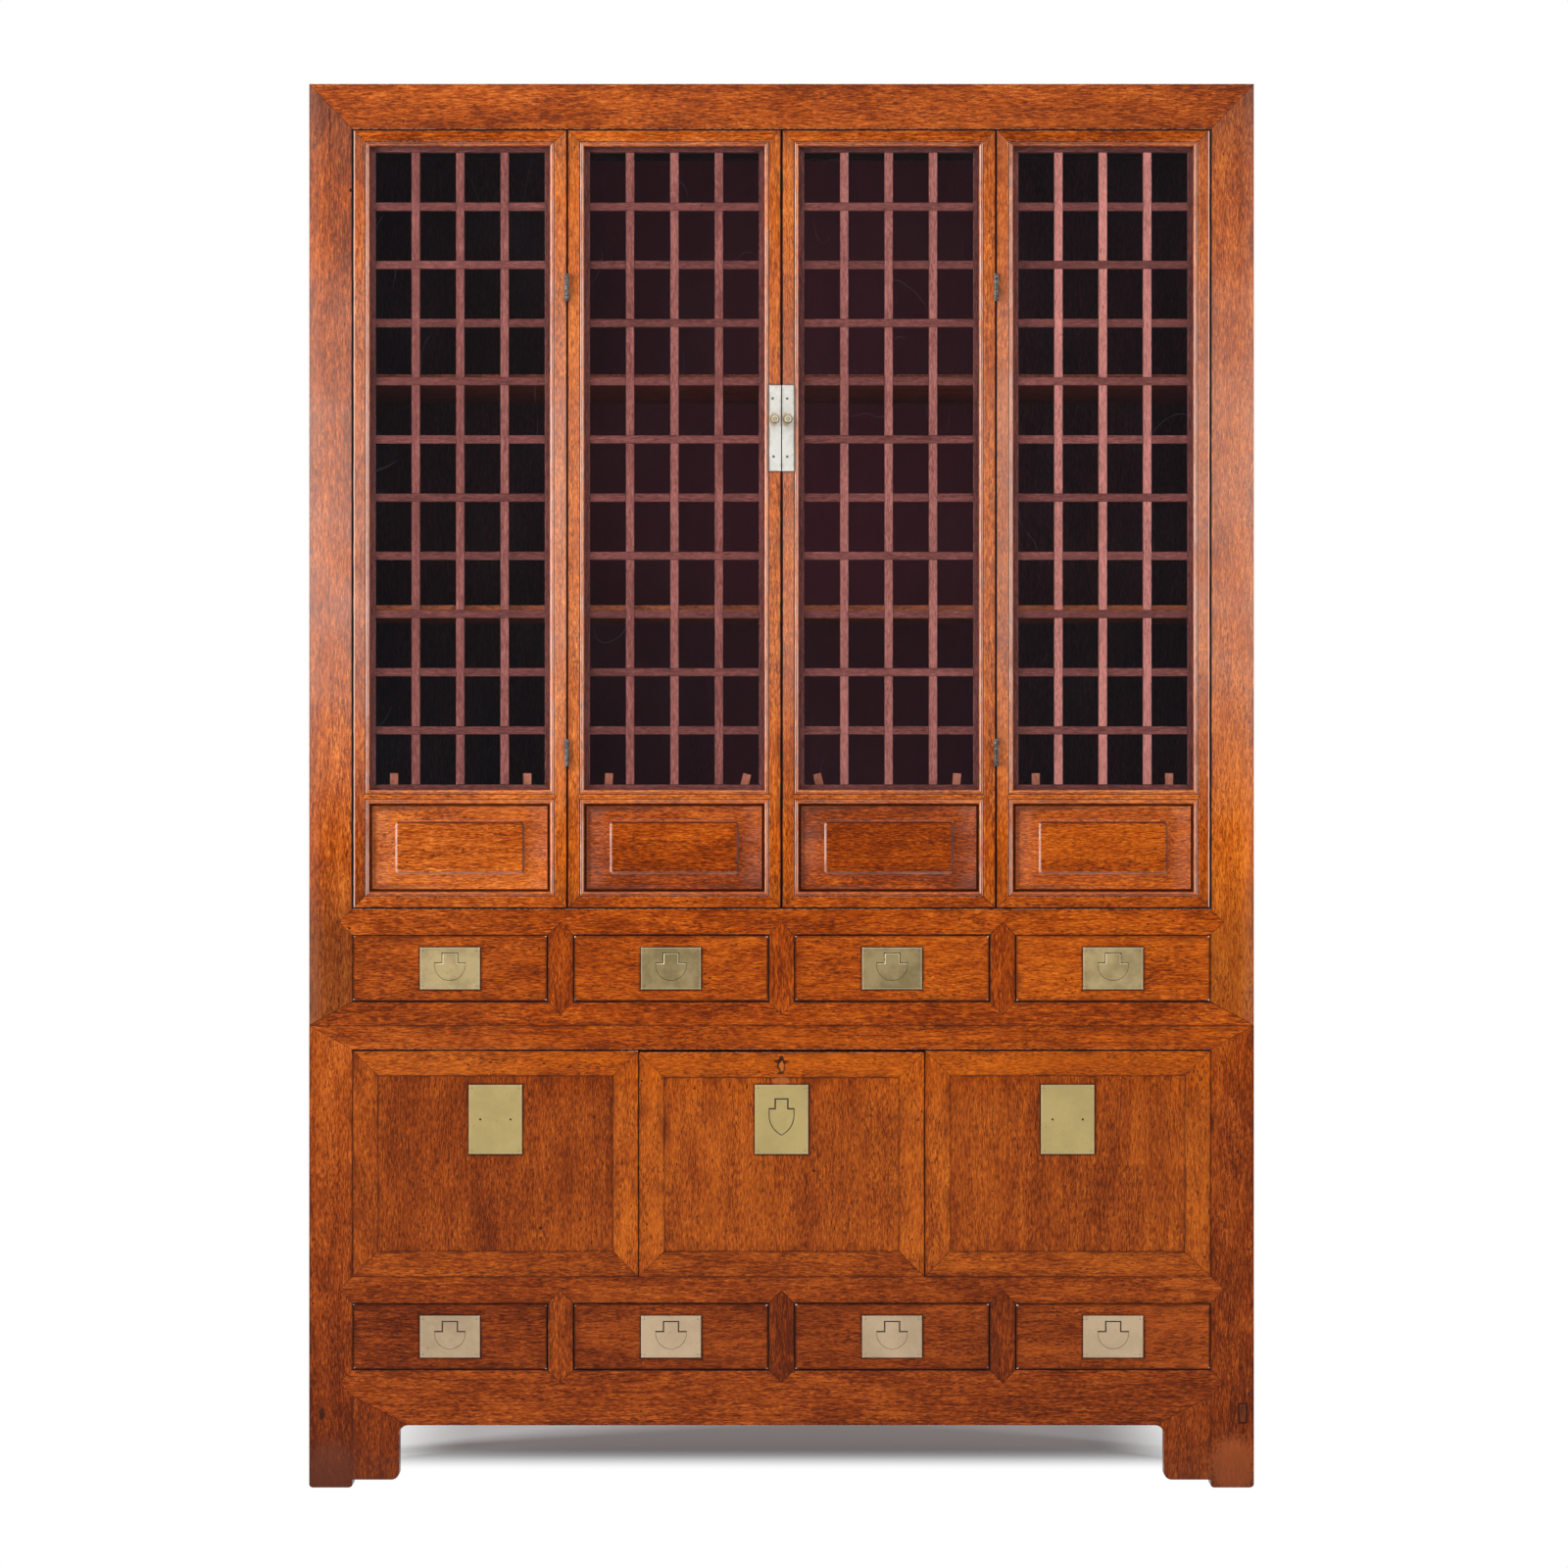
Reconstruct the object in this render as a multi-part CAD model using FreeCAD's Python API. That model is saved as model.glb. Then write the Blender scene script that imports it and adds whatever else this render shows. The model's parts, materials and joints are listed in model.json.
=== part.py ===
import FreeCAD, Part
import math
import os

# A tall book cabinet in two stacked cases. All sizes are in millimetres.
# X runs to the right, Y from front to back, Z up. The origin is on the floor,
# under the middle of the whole cabinet with its door knobs.

# Both cases
case_width = 1420.0
case_depth = 480.0
post_width = 65.0
post_depth = 50.0
rail_depth = 32.0
divider_width = 39.0
drawer_bay_height = 100.0

# Lower case, from the floor up
apron_clear = 93.5
apron_height = 83.5
apron_point = 39.0
panel_rail_height = 40.0
panel_bay_height = 341.5
lower_top_height = 36.0

# Foot brackets
bracket_width = 70.5
bracket_lift = 12.0
bracket_toe_radius = 12.0
bracket_throat_radius = 13.0

# Upper case, from the joint between the cases up
upper_bottom_height = 36.0
door_rail_height = 39.5
door_bay_height = 1172.0
upper_top_height = 68.0

# Boards, shelves and strips inside
board_thickness = 12.0
board_setback = 8.0
board_tongue = 6.0
top_board_thickness = 14.0
floor_thickness = 12.0
back_plank_count = 8
shelf_thickness = 16.0
shelf_tops = (457.0, 805.0)
shelf_front_space = 4.0
cleat_width = 18.0
cleat_height = 22.0
stop_height = 10.0
stop_depth = 14.0
bearer_ledge = 16.0
bearer_thickness = 18.0
guide_height = 30.0

# Four glazed leaves: two fixed outside, two doors between them
leaf_count = 4
leaf_thickness = 26.0
leaf_member = 25.0
leaf_gap = 0.8
moulding_width = 7.2
quirk_width = 1.0
quirk_depth = 1.8
bead_rise = 1.4
bead_fall = 2.4
rebate_width = 7.0
lip_depth = 9.0
glass_thickness = 3.0
leaf_mid_height = 21.0
field_height = 132.0

# Raised panel at the foot of each leaf
field_margin = 3.0
field_sink = 3.4
field_tongue_back = 6.0
field_round = 1.5
table_width = 190.0
table_height = 75.0
table_rise = 2.0
table_corner = 5.0

# Lattice behind the glass
lattice_rim_shown = 8.0
column_bar_width = 12.5
row_bar_width = 12.0
column_count = 3
row_count = 10

# Turn-buttons that hold the lattices in
button_width = 12.5
button_thickness = 8.0
button_reach = 35.5
button_tail = 11.0
button_inset = 35.0
button_leans_deg = (0.0, 0.0, 3.0, 15.0, -12.0, 5.0, 0.0, 0.0)
nail_width = 2.8
button_bore_radius = 2.1
nail_head_width = 7.0
nail_head_thickness = 1.8
nail_grip = 12.0

# Hinges of the two doors
hinge_length = 41.0
hinge_heights = (235.0, 934.0)
knuckle_count = 5
knuckle_radius = 3.6
hinge_pin_radius = 1.4
hinge_flag_thickness = 1.0
hinge_flag_depth = 18.0

# Lock plates and knobs on the meeting stiles
lock_plate_height = 129.0
lock_plate_rise = 658.0
lock_plate_thickness = 1.4
knob_rise = 735.5
knob_radius = 6.8
knob_length = 11.0
knob_neck_radius = 3.2
knob_neck_length = 4.0
knob_rim = 1.6
knob_belly_share = 0.6

# Drawers
drawer_count = 4
drawer_gap = 1.1
drawer_front_thickness = 22.0
drawer_side_thickness = 10.0
drawer_bottom_thickness = 6.0
drawer_bottom_lift = 5.0
drawer_length = 400.0
drawer_side_drop = 8.0
drawer_edge_round = 1.4

# Plates and flush pulls of the drawers
plate_width = 90.0
plate_height = 63.0
plate_thickness = 2.5
plate_bevel = 0.8
neck_width = 22.0
neck_height = 15.0
neck_drop = 9.0
shoulder_width = 45.5
bowl_height = 25.5
recess_margin = 2.5
recess_depth = 16.0

# Trunnions on which every flush pull swings
axle_drop = 2.0
axle_depth = 1.5
axle_radius = 0.7
axle_reach = 3.0

# Three lift-out panels of the lower case, and their plates
panel_count = 3
panel_thickness = 24.0
panel_member = 38.0
panel_gap = 0.5
centre_top_gap = 4.0
side_top_gap = 1.2
panel_board_thickness = 20.0
panel_plate_width = 80.0
panel_plate_height = 104.0
panel_plate_drop = 53.0
panel_plate_hole_radius = 1.6
panel_plate_hole_spacing = 45.4
shield_neck_width = 18.4
shield_neck_height = 14.6
shield_neck_drop = 21.5
shield_width = 36.0
shield_height = 38.5
shield_side = 9.0
shield_hip_share = 0.74
shield_sag_share = 0.28

# Clearances
pull_clearance = 0.6
running_clearance = 0.3
pin_clearance = 0.08
axle_clearance = 0.12
lattice_clearance = 0.3
overrun = 2.0

# Places that follow from the sizes above
knob_proud = lock_plate_thickness + knob_neck_length + knob_length
face = (knob_proud - case_depth) / 2
back = face + case_depth
middle = (face + back) / 2
half = case_width / 2
inside = half - post_width
lower_bearer_top = apron_clear + apron_height
panel_rail_low = lower_bearer_top + drawer_bay_height
panel_low = panel_rail_low + panel_rail_height
panel_high = panel_low + panel_bay_height
split = panel_high + lower_top_height
upper_bearer_top = split + upper_bottom_height
door_rail_low = upper_bearer_top + drawer_bay_height
door_low = door_rail_low + door_rail_height
door_high = door_low + door_bay_height
height = door_high + upper_top_height
bay_width = 2 * inside
drawer_opening = (bay_width - (drawer_count - 1) * divider_width) / drawer_count
leaf_pitch = bay_width / leaf_count
leaf_width = leaf_pitch - 2 * leaf_gap
leaf_height = door_bay_height - 2 * leaf_gap
leaf_flat = leaf_member - moulding_width
lattice_thickness = leaf_thickness - lip_depth - glass_thickness
side_board_out = half - board_setback
side_board_in = side_board_out - board_thickness
back_board_front = back - board_setback - board_thickness
hinge_axis_y = face - knuckle_radius - running_clearance


def point(a, b, axis, c):
    """A point of the plane that stands square to an axis, at place c on it."""
    places = {"x": (c, a, b), "y": (a, c, b), "z": (a, b, c)}
    return FreeCAD.Vector(*places[axis])


def prism(steps, axis, low, high):
    """An outline drawn square to an axis and pushed along it from low to high.
    A step is a corner, or a pair of points: one that an arc passes and its end."""
    edges = []
    here = steps[0]
    for step in steps[1:] + [steps[0]]:
        curved = isinstance(step[0], tuple)
        end = step[1] if curved else step
        if curved:
            ends = [point(*p, axis, low) for p in (here, step[0], end)]
            edges.append(Part.Arc(*ends).toShape())
        elif end != here:
            ends = [point(*p, axis, low) for p in (here, end)]
            edges.append(Part.LineSegment(*ends).toShape())
        here = end
    outline = Part.Face(Part.Wire(edges))
    return outline.extrude(point(0, 0, axis, high - low))


def block(x_low, x_high, y_low, y_high, z_low, z_high):
    """A plain board or bar between two places on each axis."""
    corner = FreeCAD.Vector(x_low, y_low, z_low)
    return Part.makeBox(x_high - x_low, y_high - y_low, z_high - z_low, corner)


def rod(radius, start, end):
    """A round pin from one point to another."""
    way = end - start
    return Part.makeCylinder(radius, way.Length, start, way)


def left_and_right(shape):
    """The shape and its mirror image on the other side of the cabinet."""
    return [shape, shape.mirror(FreeCAD.Vector(0, 0, 0), FreeCAD.Vector(1, 0, 0))]


def front_and_back(shape):
    """The shape and its mirror image at the back of the case."""
    centre = FreeCAD.Vector(0, middle, 0)
    return [shape, shape.mirror(centre, FreeCAD.Vector(0, 1, 0))]


def four_corners(shape):
    """A corner piece in all four corners."""
    return [s for half_pair in left_and_right(shape) for s in front_and_back(half_pair)]


def cut_each(shapes, tools):
    """Each shape with the tools that reach it cut out."""
    done = []
    for shape in shapes:
        near = [t for t in tools if shape.BoundBox.intersect(t.BoundBox)]
        done.append(shape.cut(near) if near else shape)
    return done


def solids(shapes):
    """The separate solids of a list of shapes, as one group."""
    return Part.makeCompound([s for shape in shapes for s in shape.Solids])


def save(name, shapes):
    """One node: a group of separate solids in one file."""
    solids(shapes).exportStep("parts/" + name + ".step")


# Case frames


def corner_post(z_low, z_low_inner, z_high_inner, z_high):
    """Front left post. Where an inner end differs from the outer, the end is mitred
    on the front and on the side, as in a joint that three members share."""
    front = [(-half, z_low), (-inside, z_low_inner), (-inside, z_high_inner), (-half, z_high)]
    behind = face + post_depth
    side = [(face, z_low), (behind, z_low_inner), (behind, z_high_inner), (face, z_high)]
    body = prism(front, "y", face, behind)
    return body.common(prism(side, "x", -half, -inside))


def mitred_ring(z_outer, z_inner):
    """Four rails that meet the posts and one another in mitres on every outer face."""
    low = min(z_outer, z_inner)
    high = max(z_outer, z_inner)
    front = [(-half, z_outer), (half, z_outer), (inside, z_inner), (-inside, z_inner)]
    y_in = face + post_depth
    top = [(-half, face), (half, face), (inside, y_in), (-inside, y_in)]
    long_rail = prism(front, "y", face, y_in).common(prism(top, "z", low, high))
    y_far = back - post_depth
    side = [(face, z_outer), (back, z_outer), (y_far, z_inner), (y_in, z_inner)]
    plan = [(-half, face), (-half, back), (-inside, y_far), (-inside, y_in)]
    short_rail = prism(side, "x", -half, -inside).common(prism(plan, "z", low, high))
    return front_and_back(long_rail) + left_and_right(short_rail)


def pointed_outline(low, high, a_low, a_high):
    """A bar whose two ends are points of 45 degrees that enter its neighbours."""
    tip = (high - low) / 2
    centre = (high + low) / 2
    return [
        (a_low, low), (a_high, low), (a_high + tip, centre),
        (a_high, high), (a_low, high), (a_low - tip, centre),
    ]


def pointed_rails(z_low, z_high):
    """Front, back and side rails between the posts, with pointed ends."""
    front = pointed_outline(z_low, z_high, -inside, inside)
    side = pointed_outline(z_low, z_high, face + post_depth, back - post_depth)
    long_rail = prism(front, "y", face, face + rail_depth)
    short_rail = prism(side, "x", -half, -half + rail_depth)
    return front_and_back(long_rail) + left_and_right(short_rail)


def drawer_centres():
    """The middles of the drawer openings of a row."""
    pitch = drawer_opening + divider_width
    return [-inside + drawer_opening / 2 + i * pitch for i in range(drawer_count)]


def divider_centres():
    """The middles of the dividers between the drawers of a row."""
    pitch = drawer_opening + divider_width
    return [x + pitch / 2 for x in drawer_centres()[:-1]]


def dividers(z_low, z_high):
    """Short uprights between the drawers, pointed at both ends."""
    reach = divider_width / 2
    made = []
    for x in divider_centres():
        outline = [
            (x - reach, z_low), (x, z_low - reach), (x + reach, z_low),
            (x + reach, z_high), (x, z_high + reach), (x - reach, z_high),
        ]
        made.append(prism(outline, "y", face, face + rail_depth))
    return made


def upper_frame():
    """Posts, rails and dividers of the upper case, before the board grooves."""
    rails = pointed_rails(door_rail_low, door_low)
    uprights = dividers(upper_bearer_top, door_rail_low)
    posts = four_corners(corner_post(split, upper_bearer_top, door_high, height))
    rings = mitred_ring(height, door_high) + mitred_ring(split, upper_bearer_top)
    return cut_each(posts, rails), cut_each(rings + rails, uprights), uprights


def apron():
    """Front apron: pointed shoulders above, slanting joints to the brackets below."""
    z_high = lower_bearer_top
    z_point = z_high - apron_point
    tip = apron_point / 2
    toe = inside - bracket_width - bracket_throat_radius
    right = [
        (toe, apron_clear), (inside, z_point), (inside + tip, z_point + tip), (inside, z_high),
    ]
    left = [(-x, z) for x, z in reversed(right)]
    return prism(left + right, "y", face, face + rail_depth)


def foot_bracket():
    """Left bracket between post and apron, with a rounded toe and throat."""
    edge = -inside + bracket_width
    throat = bracket_throat_radius
    toe = bracket_toe_radius
    lift = bracket_lift
    slant = math.sqrt(2) / 2
    inner = (edge + throat - throat * slant, apron_clear - throat + throat * slant)
    outer = (edge - toe + toe * slant, lift + toe - toe * slant)
    steps = [
        (-inside, lift),
        (-inside, lower_bearer_top - apron_point),
        (edge + throat, apron_clear),
        (inner, (edge, apron_clear - throat)),
        (edge, lift + toe),
        (outer, (edge - toe, lift)),
    ]
    return prism(steps, "y", face, face + rail_depth)


def low_rails():
    """Plain back and side rails at the height of the apron."""
    z_high = lower_bearer_top
    side = block(
        -half, -half + rail_depth, face + post_depth, back - post_depth, apron_clear, z_high
    )
    behind = block(-inside, inside, back - rail_depth, back, apron_clear, z_high)
    return left_and_right(side) + [behind]


def lower_frame():
    """Posts, rails, apron, brackets and dividers of the lower case."""
    rails = pointed_rails(panel_rail_low, panel_low)
    uprights = dividers(lower_bearer_top, panel_rail_low)
    front = apron()
    posts = four_corners(corner_post(0, 0, panel_high, split))
    posts = cut_each(posts, rails + [front])
    across = mitred_ring(split, panel_high) + rails + [front]
    rest = cut_each(across, uprights) + low_rails() + left_and_right(foot_bracket())
    return posts, rest, uprights


# Boards


def side_boards(z_low, z_high):
    """A board in grooves between the posts and two side rails, left and right."""
    y_low = face + post_depth - board_tongue
    y_high = back - post_depth + board_tongue
    board = block(
        -side_board_out, -side_board_in, y_low, y_high, z_low - board_tongue, z_high + board_tongue
    )
    return left_and_right(board)


def back_planks(z_low, z_high):
    """Upright planks in grooves between the back posts and two back rails."""
    low = -inside - board_tongue
    width = (bay_width + 2 * board_tongue) / back_plank_count
    made = []
    for i in range(back_plank_count):
        x = low + i * width
        made.append(block(
            x, x + width, back_board_front, back - board_setback,
            z_low - board_tongue, z_high + board_tongue,
        ))
    return made


def lid_board(z_top):
    """The board in the grooves of a mitred top frame, just under its top."""
    z_high = z_top - board_setback
    reach = inside + board_tongue
    y_low = face + post_depth - board_tongue
    y_high = back - post_depth + board_tongue
    return block(-reach, reach, y_low, y_high, z_high - top_board_thickness, z_high)


def deck(y_front, z_low, z_high, posts):
    """A floor or shelf from the front to the back planks, cut round the posts."""
    board = block(-side_board_in, side_board_in, y_front, back_board_front, z_low, z_high)
    return board.cut(posts)


def stop_strip(y_front, z_top):
    """The strip under a top rail that the leaves or panels close against."""
    return block(-inside, inside, y_front, y_front + stop_depth, z_top - stop_height, z_top)


def case_boards(upper_posts, lower_posts):
    """Grooved boards of both cases, and the floors and strips laid on the rails."""
    leaf_back = face + leaf_thickness + running_clearance
    panel_back = face + panel_thickness + running_clearance
    grooved_upper = (
        side_boards(door_low, door_high) + side_boards(upper_bearer_top, door_rail_low)
        + back_planks(door_low, door_high) + back_planks(upper_bearer_top, door_rail_low)
        + [lid_board(height)]
    )
    grooved_lower = (
        side_boards(panel_low, panel_high) + side_boards(lower_bearer_top, panel_rail_low)
        + back_planks(panel_low, panel_high) + back_planks(lower_bearer_top, panel_rail_low)
        + [lid_board(split)]
    )
    laid = [
        deck(leaf_back, door_low, door_low + floor_thickness, upper_posts),
        deck(panel_back, panel_low, panel_low + floor_thickness, lower_posts),
        stop_strip(leaf_back, door_high),
        stop_strip(panel_back, panel_high),
    ]
    return grooved_upper, grooved_lower, laid


def shelves(posts):
    """Two shelves of the upper case and the cleats at their ends."""
    made = []
    y_front = face + leaf_thickness + shelf_front_space
    for rise in shelf_tops:
        z_top = door_low + rise
        z_low = z_top - shelf_thickness
        made.append(deck(y_front, z_low, z_top, posts))
        cleat = block(
            -side_board_in, -side_board_in + cleat_width,
            face + post_depth, back - post_depth, z_low - cleat_height, z_low,
        )
        made += left_and_right(cleat)
    return made


def drawer_runners(z_top, member, z_kicker):
    """Bearers under the drawers, guides between them and kickers above them.
    member is the width and depth of the rails that the bearers meet."""
    side_width, front_depth = member
    y_low = face + front_depth
    y_high = back - front_depth
    z_low = z_top - bearer_thickness
    guide_top = z_top + guide_height
    half_divider = divider_width / 2
    ledge = half_divider + bearer_ledge
    made = []
    for x in divider_centres():
        made.append(block(x - ledge, x + ledge, y_low, y_high, z_low, z_top))
        made.append(block(
            x - half_divider, x + half_divider,
            face + rail_depth, back - post_depth, z_top, guide_top,
        ))
        made.append(block(
            x - half_divider, x + half_divider,
            face + rail_depth, back - rail_depth, *z_kicker,
        ))
    y_side = (face + post_depth, back - post_depth)
    edge = -inside + bearer_ledge
    made += left_and_right(block(-half + side_width, edge, *y_side, z_low, z_top))
    made += left_and_right(block(-side_board_in, -inside, *y_side, z_top, guide_top))
    return made


# Glazed leaves


def moulded_profile():
    """Section of a leaf member: (across from its outer edge, depth from its face)."""
    w = leaf_member
    groove = leaf_flat + quirk_width
    crown = (w + groove) / 2
    return [
        (0, 0), (leaf_flat, 0), (leaf_flat, quirk_depth), (groove, quirk_depth),
        ((crown, quirk_depth - bead_rise), (w, quirk_depth + bead_fall)),
        (w, lip_depth), (w - rebate_width, lip_depth), (w - rebate_width, leaf_thickness),
        (0, leaf_thickness),
    ]


def mid_rail_profile():
    """Section of the rail above the raised panel, moulded on both edges."""
    high = leaf_mid_height
    groove = moulding_width - quirk_width
    flat = moulding_width
    crown = groove / 2
    step = rebate_width
    return [
        (step, leaf_thickness), (step, lip_depth), (0, lip_depth),
        (0, quirk_depth + bead_fall),
        ((crown, quirk_depth - bead_rise), (groove, quirk_depth)),
        (flat, quirk_depth), (flat, 0), (high - flat, 0), (high - flat, quirk_depth),
        (high - groove, quirk_depth),
        ((high - crown, quirk_depth - bead_rise), (high, quirk_depth + bead_fall)),
        (high, lip_depth), (high - step, lip_depth), (high - step, leaf_thickness),
    ]


def redrawn(steps, place):
    """The same outline with every point put in a new place by a rule."""
    done = []
    for step in steps:
        if isinstance(step[0], tuple):
            done.append((place(*step[0]), place(*step[1])))
        else:
            done.append(place(*step))
    return done


def leaf_mid_low():
    """Height of the underside of the mid rail above the foot of the leaf."""
    return leaf_member + field_height


def leaf_members():
    """Two stiles, top, mid and bottom rail of a leaf whose front foot is the origin."""
    w, h, m = leaf_width, leaf_height, leaf_member
    stile = prism(moulded_profile(), "z", 0, h)
    mitre = prism([(0, 0), (m, m), (m, h - m), (0, h)], "y", 0, leaf_thickness)
    low = leaf_mid_low()
    tip = leaf_mid_height / 2
    notch = prism(
        [(m, low), (m - tip, low + tip), (m, low + leaf_mid_height)], "y", 0, leaf_thickness
    )
    left = stile.common(mitre).cut(notch)
    centre = FreeCAD.Vector(w / 2, 0, 0)
    right = left.mirror(centre, FreeCAD.Vector(1, 0, 0))
    section = redrawn(moulded_profile(), lambda across, depth: (depth, across))
    foot = prism(section, "x", 0, w)
    foot = foot.common(prism([(0, 0), (w, 0), (w - m, m), (m, m)], "y", 0, leaf_thickness))
    head = foot.mirror(FreeCAD.Vector(0, 0, h / 2), FreeCAD.Vector(0, 0, 1))
    section = redrawn(mid_rail_profile(), lambda across, depth: (depth, low + across))
    shape = pointed_outline(low, low + leaf_mid_height, m, w - m)
    mid = prism(section, "x", m - tip, w - m + tip)
    mid = mid.common(prism(shape, "y", 0, leaf_thickness))
    return [left, right, foot, head, mid]


def rounded_rectangle(x_low, x_high, z_low, z_high, radius):
    """Outline of a rectangle with four rounded corners."""
    turn = radius * (1 - math.sqrt(2) / 2)
    return [
        (x_low + radius, z_low), (x_high - radius, z_low),
        ((x_high - turn, z_low + turn), (x_high, z_low + radius)), (x_high, z_high - radius),
        ((x_high - turn, z_high - turn), (x_high - radius, z_high)), (x_low + radius, z_high),
        ((x_low + turn, z_high - turn), (x_low, z_high - radius)), (x_low, z_low + radius),
        ((x_low + turn, z_low + turn), (x_low + radius, z_low)),
    ]


def front_edges(shape, y):
    """The edges of a shape that lie in its front plane."""
    return [e for e in shape.Edges if e.BoundBox.YMax < y + running_clearance]


def field_panel():
    """Raised panel of a leaf: a tongue in the rebates, a rounded field, a table on it."""
    m = leaf_member
    reach = m - rebate_width + lattice_clearance
    z_high = leaf_mid_low()
    tongue = block(
        reach, leaf_width - reach, lip_depth, lip_depth + field_tongue_back,
        reach, z_high + rebate_width - lattice_clearance,
    )
    inset = m + field_margin
    field = block(
        inset, leaf_width - inset, field_sink, lip_depth, inset, z_high - field_margin
    )
    field = field.makeFillet(field_round, front_edges(field, field_sink))
    x = leaf_width / 2
    z = (m + z_high) / 2
    outline = rounded_rectangle(
        x - table_width / 2, x + table_width / 2,
        z - table_height / 2, z + table_height / 2, table_corner,
    )
    table = prism(outline, "y", field_sink - table_rise, field_sink)
    return tongue.fuse([field, table]).removeSplitter()


def window():
    """The window's rebate in a leaf, less the fitting gap: x and z, low and high."""
    side = leaf_member - rebate_width + lattice_clearance
    low = leaf_mid_low() + leaf_mid_height - rebate_width + lattice_clearance
    return side, leaf_width - side, low, leaf_height - side


def pane():
    """Sheet of glass against the lip at the front of the rebate."""
    x_low, x_high, z_low, z_high = window()
    return block(x_low, x_high, lip_depth, lip_depth + glass_thickness, z_low, z_high)


def bar_places(low, high, count, width):
    """Low edges of bars spread evenly between two places."""
    cell = (high - low - count * width) / (count + 1)
    return [low + cell + i * (cell + width) for i in range(count)]


def lapped_bar(low, high, laps, lap_width, in_front):
    """Outline of a lattice bar, (along, depth), halved at each crossing: cut at the
    back where it passes in front of the other bar, and at the front elsewhere."""
    front = lip_depth + glass_thickness
    half_depth = front + lattice_thickness / 2
    ahead = [(low, front)]
    behind = []
    for start, leads in zip(laps, in_front):
        end = start + lap_width
        if leads:
            behind += [
                (start, leaf_thickness), (start, half_depth),
                (end, half_depth), (end, leaf_thickness),
            ]
        else:
            ahead += [(start, front), (start, half_depth), (end, half_depth), (end, front)]
    return ahead + [(high, front), (high, leaf_thickness)] + behind[::-1] + [(low, leaf_thickness)]


def lattice(rows_lead_first):
    """Mitred rim and half-lapped bars. Bars swap front and back from row to row."""
    x_low, x_high, z_low, z_high = window()
    front = lip_depth + glass_thickness
    rim = rebate_width - lattice_clearance + lattice_rim_shown
    xi, xj, zi, zj = x_low + rim, x_high - rim, z_low + rim, z_high - rim
    rims = [
        [(x_low, z_low), (xi, zi), (xi, zj), (x_low, z_high)],
        [(x_high, z_low), (x_high, z_high), (xj, zj), (xj, zi)],
        [(x_low, z_low), (x_high, z_low), (xj, zi), (xi, zi)],
        [(x_low, z_high), (xi, zj), (xj, zj), (x_high, z_high)],
    ]
    made = [prism(outline, "y", front, leaf_thickness) for outline in rims]
    columns = bar_places(xi, xj, column_count, column_bar_width)
    rows = bar_places(zi, zj, row_count, row_bar_width)
    row_leads = [(row_count - i) % 2 == (1 if rows_lead_first else 0) for i in range(row_count)]
    for x in columns:
        column_leads = [not leads for leads in row_leads]
        steps = lapped_bar(zi, zj, rows, row_bar_width, column_leads)
        steps = [(depth, along) for along, depth in steps]
        made.append(prism(steps, "x", x, x + column_bar_width))
    for z, leads in zip(rows, row_leads):
        steps = lapped_bar(xi, xj, columns, column_bar_width, [leads] * column_count)
        made.append(prism(steps, "z", z, z + row_bar_width))
    return made


def button_places():
    """The two pivots of a leaf's turn-buttons: distances from its left edge."""
    inset = leaf_member + button_inset
    return [inset, leaf_width - inset]


def button_height():
    """Height of the pivots: the middle of the mid rail."""
    return leaf_mid_low() + leaf_mid_height / 2


def turn_button(x, lean_deg):
    """Small wooden button behind the mid rail, bored for its nail."""
    y_low = leaf_thickness + running_clearance
    y_high = y_low + button_thickness
    z = button_height()
    reach = button_width / 2
    body = block(x - reach, x + reach, y_low, y_high, z - button_tail, z + button_reach)
    start = FreeCAD.Vector(x, y_low - overrun, z)
    end = FreeCAD.Vector(x, y_high + overrun, z)
    body = body.cut(rod(button_bore_radius, start, end))
    return body.rotate(FreeCAD.Vector(x, 0, z), FreeCAD.Vector(0, 1, 0), lean_deg)


def button_nail(x):
    """Square forged nail through a turn-button into the mid rail."""
    z = button_height()
    under = leaf_thickness + 2 * running_clearance + button_thickness
    r = nail_width / 2
    shank = block(x - r, x + r, leaf_thickness - nail_grip, under, z - r, z + r)
    r = nail_head_width / 2
    head = block(x - r, x + r, under, under + nail_head_thickness, z - r, z + r)
    return shank.fuse(head)


# Door hinges: the axis is the line x = 0, y = hinge_axis_y in these functions


def knuckle_places(odd):
    """Low and high ends of every second knuckle, from the middle of the hinge."""
    pitch = hinge_length / knuckle_count
    low = -hinge_length / 2
    first = 0 if odd else 1
    trim = running_clearance / 2
    return [
        (low + i * pitch + trim, low + (i + 1) * pitch - trim)
        for i in range(first, knuckle_count, 2)
    ]


def hinge_half(odd):
    """One half of a hinge, to the right of the axis: knuckles and a flag let in
    between the stiles."""
    x_low = running_clearance / 2
    x_high = x_low + hinge_flag_thickness
    y_flag = face + running_clearance
    flag = block(
        x_low, x_high, y_flag, face + hinge_flag_depth, -hinge_length / 2, hinge_length / 2
    )
    barrel = []
    for z_low, z_high in knuckle_places(odd):
        start = FreeCAD.Vector(0, hinge_axis_y, z_low)
        end = FreeCAD.Vector(0, hinge_axis_y, z_high)
        barrel.append(rod(knuckle_radius, start, end))
        barrel.append(block(x_low, x_high, hinge_axis_y, y_flag, z_low, z_high))
    return flag.fuse(barrel)


def hinge_pin(radius):
    """Pin of a hinge, riveted in the end knuckles, or the bore round it."""
    reach = (hinge_length - hinge_length / knuckle_count) / 2
    start = FreeCAD.Vector(0, hinge_axis_y, -reach)
    end = FreeCAD.Vector(0, hinge_axis_y, reach)
    return rod(radius, start, end)


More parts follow.
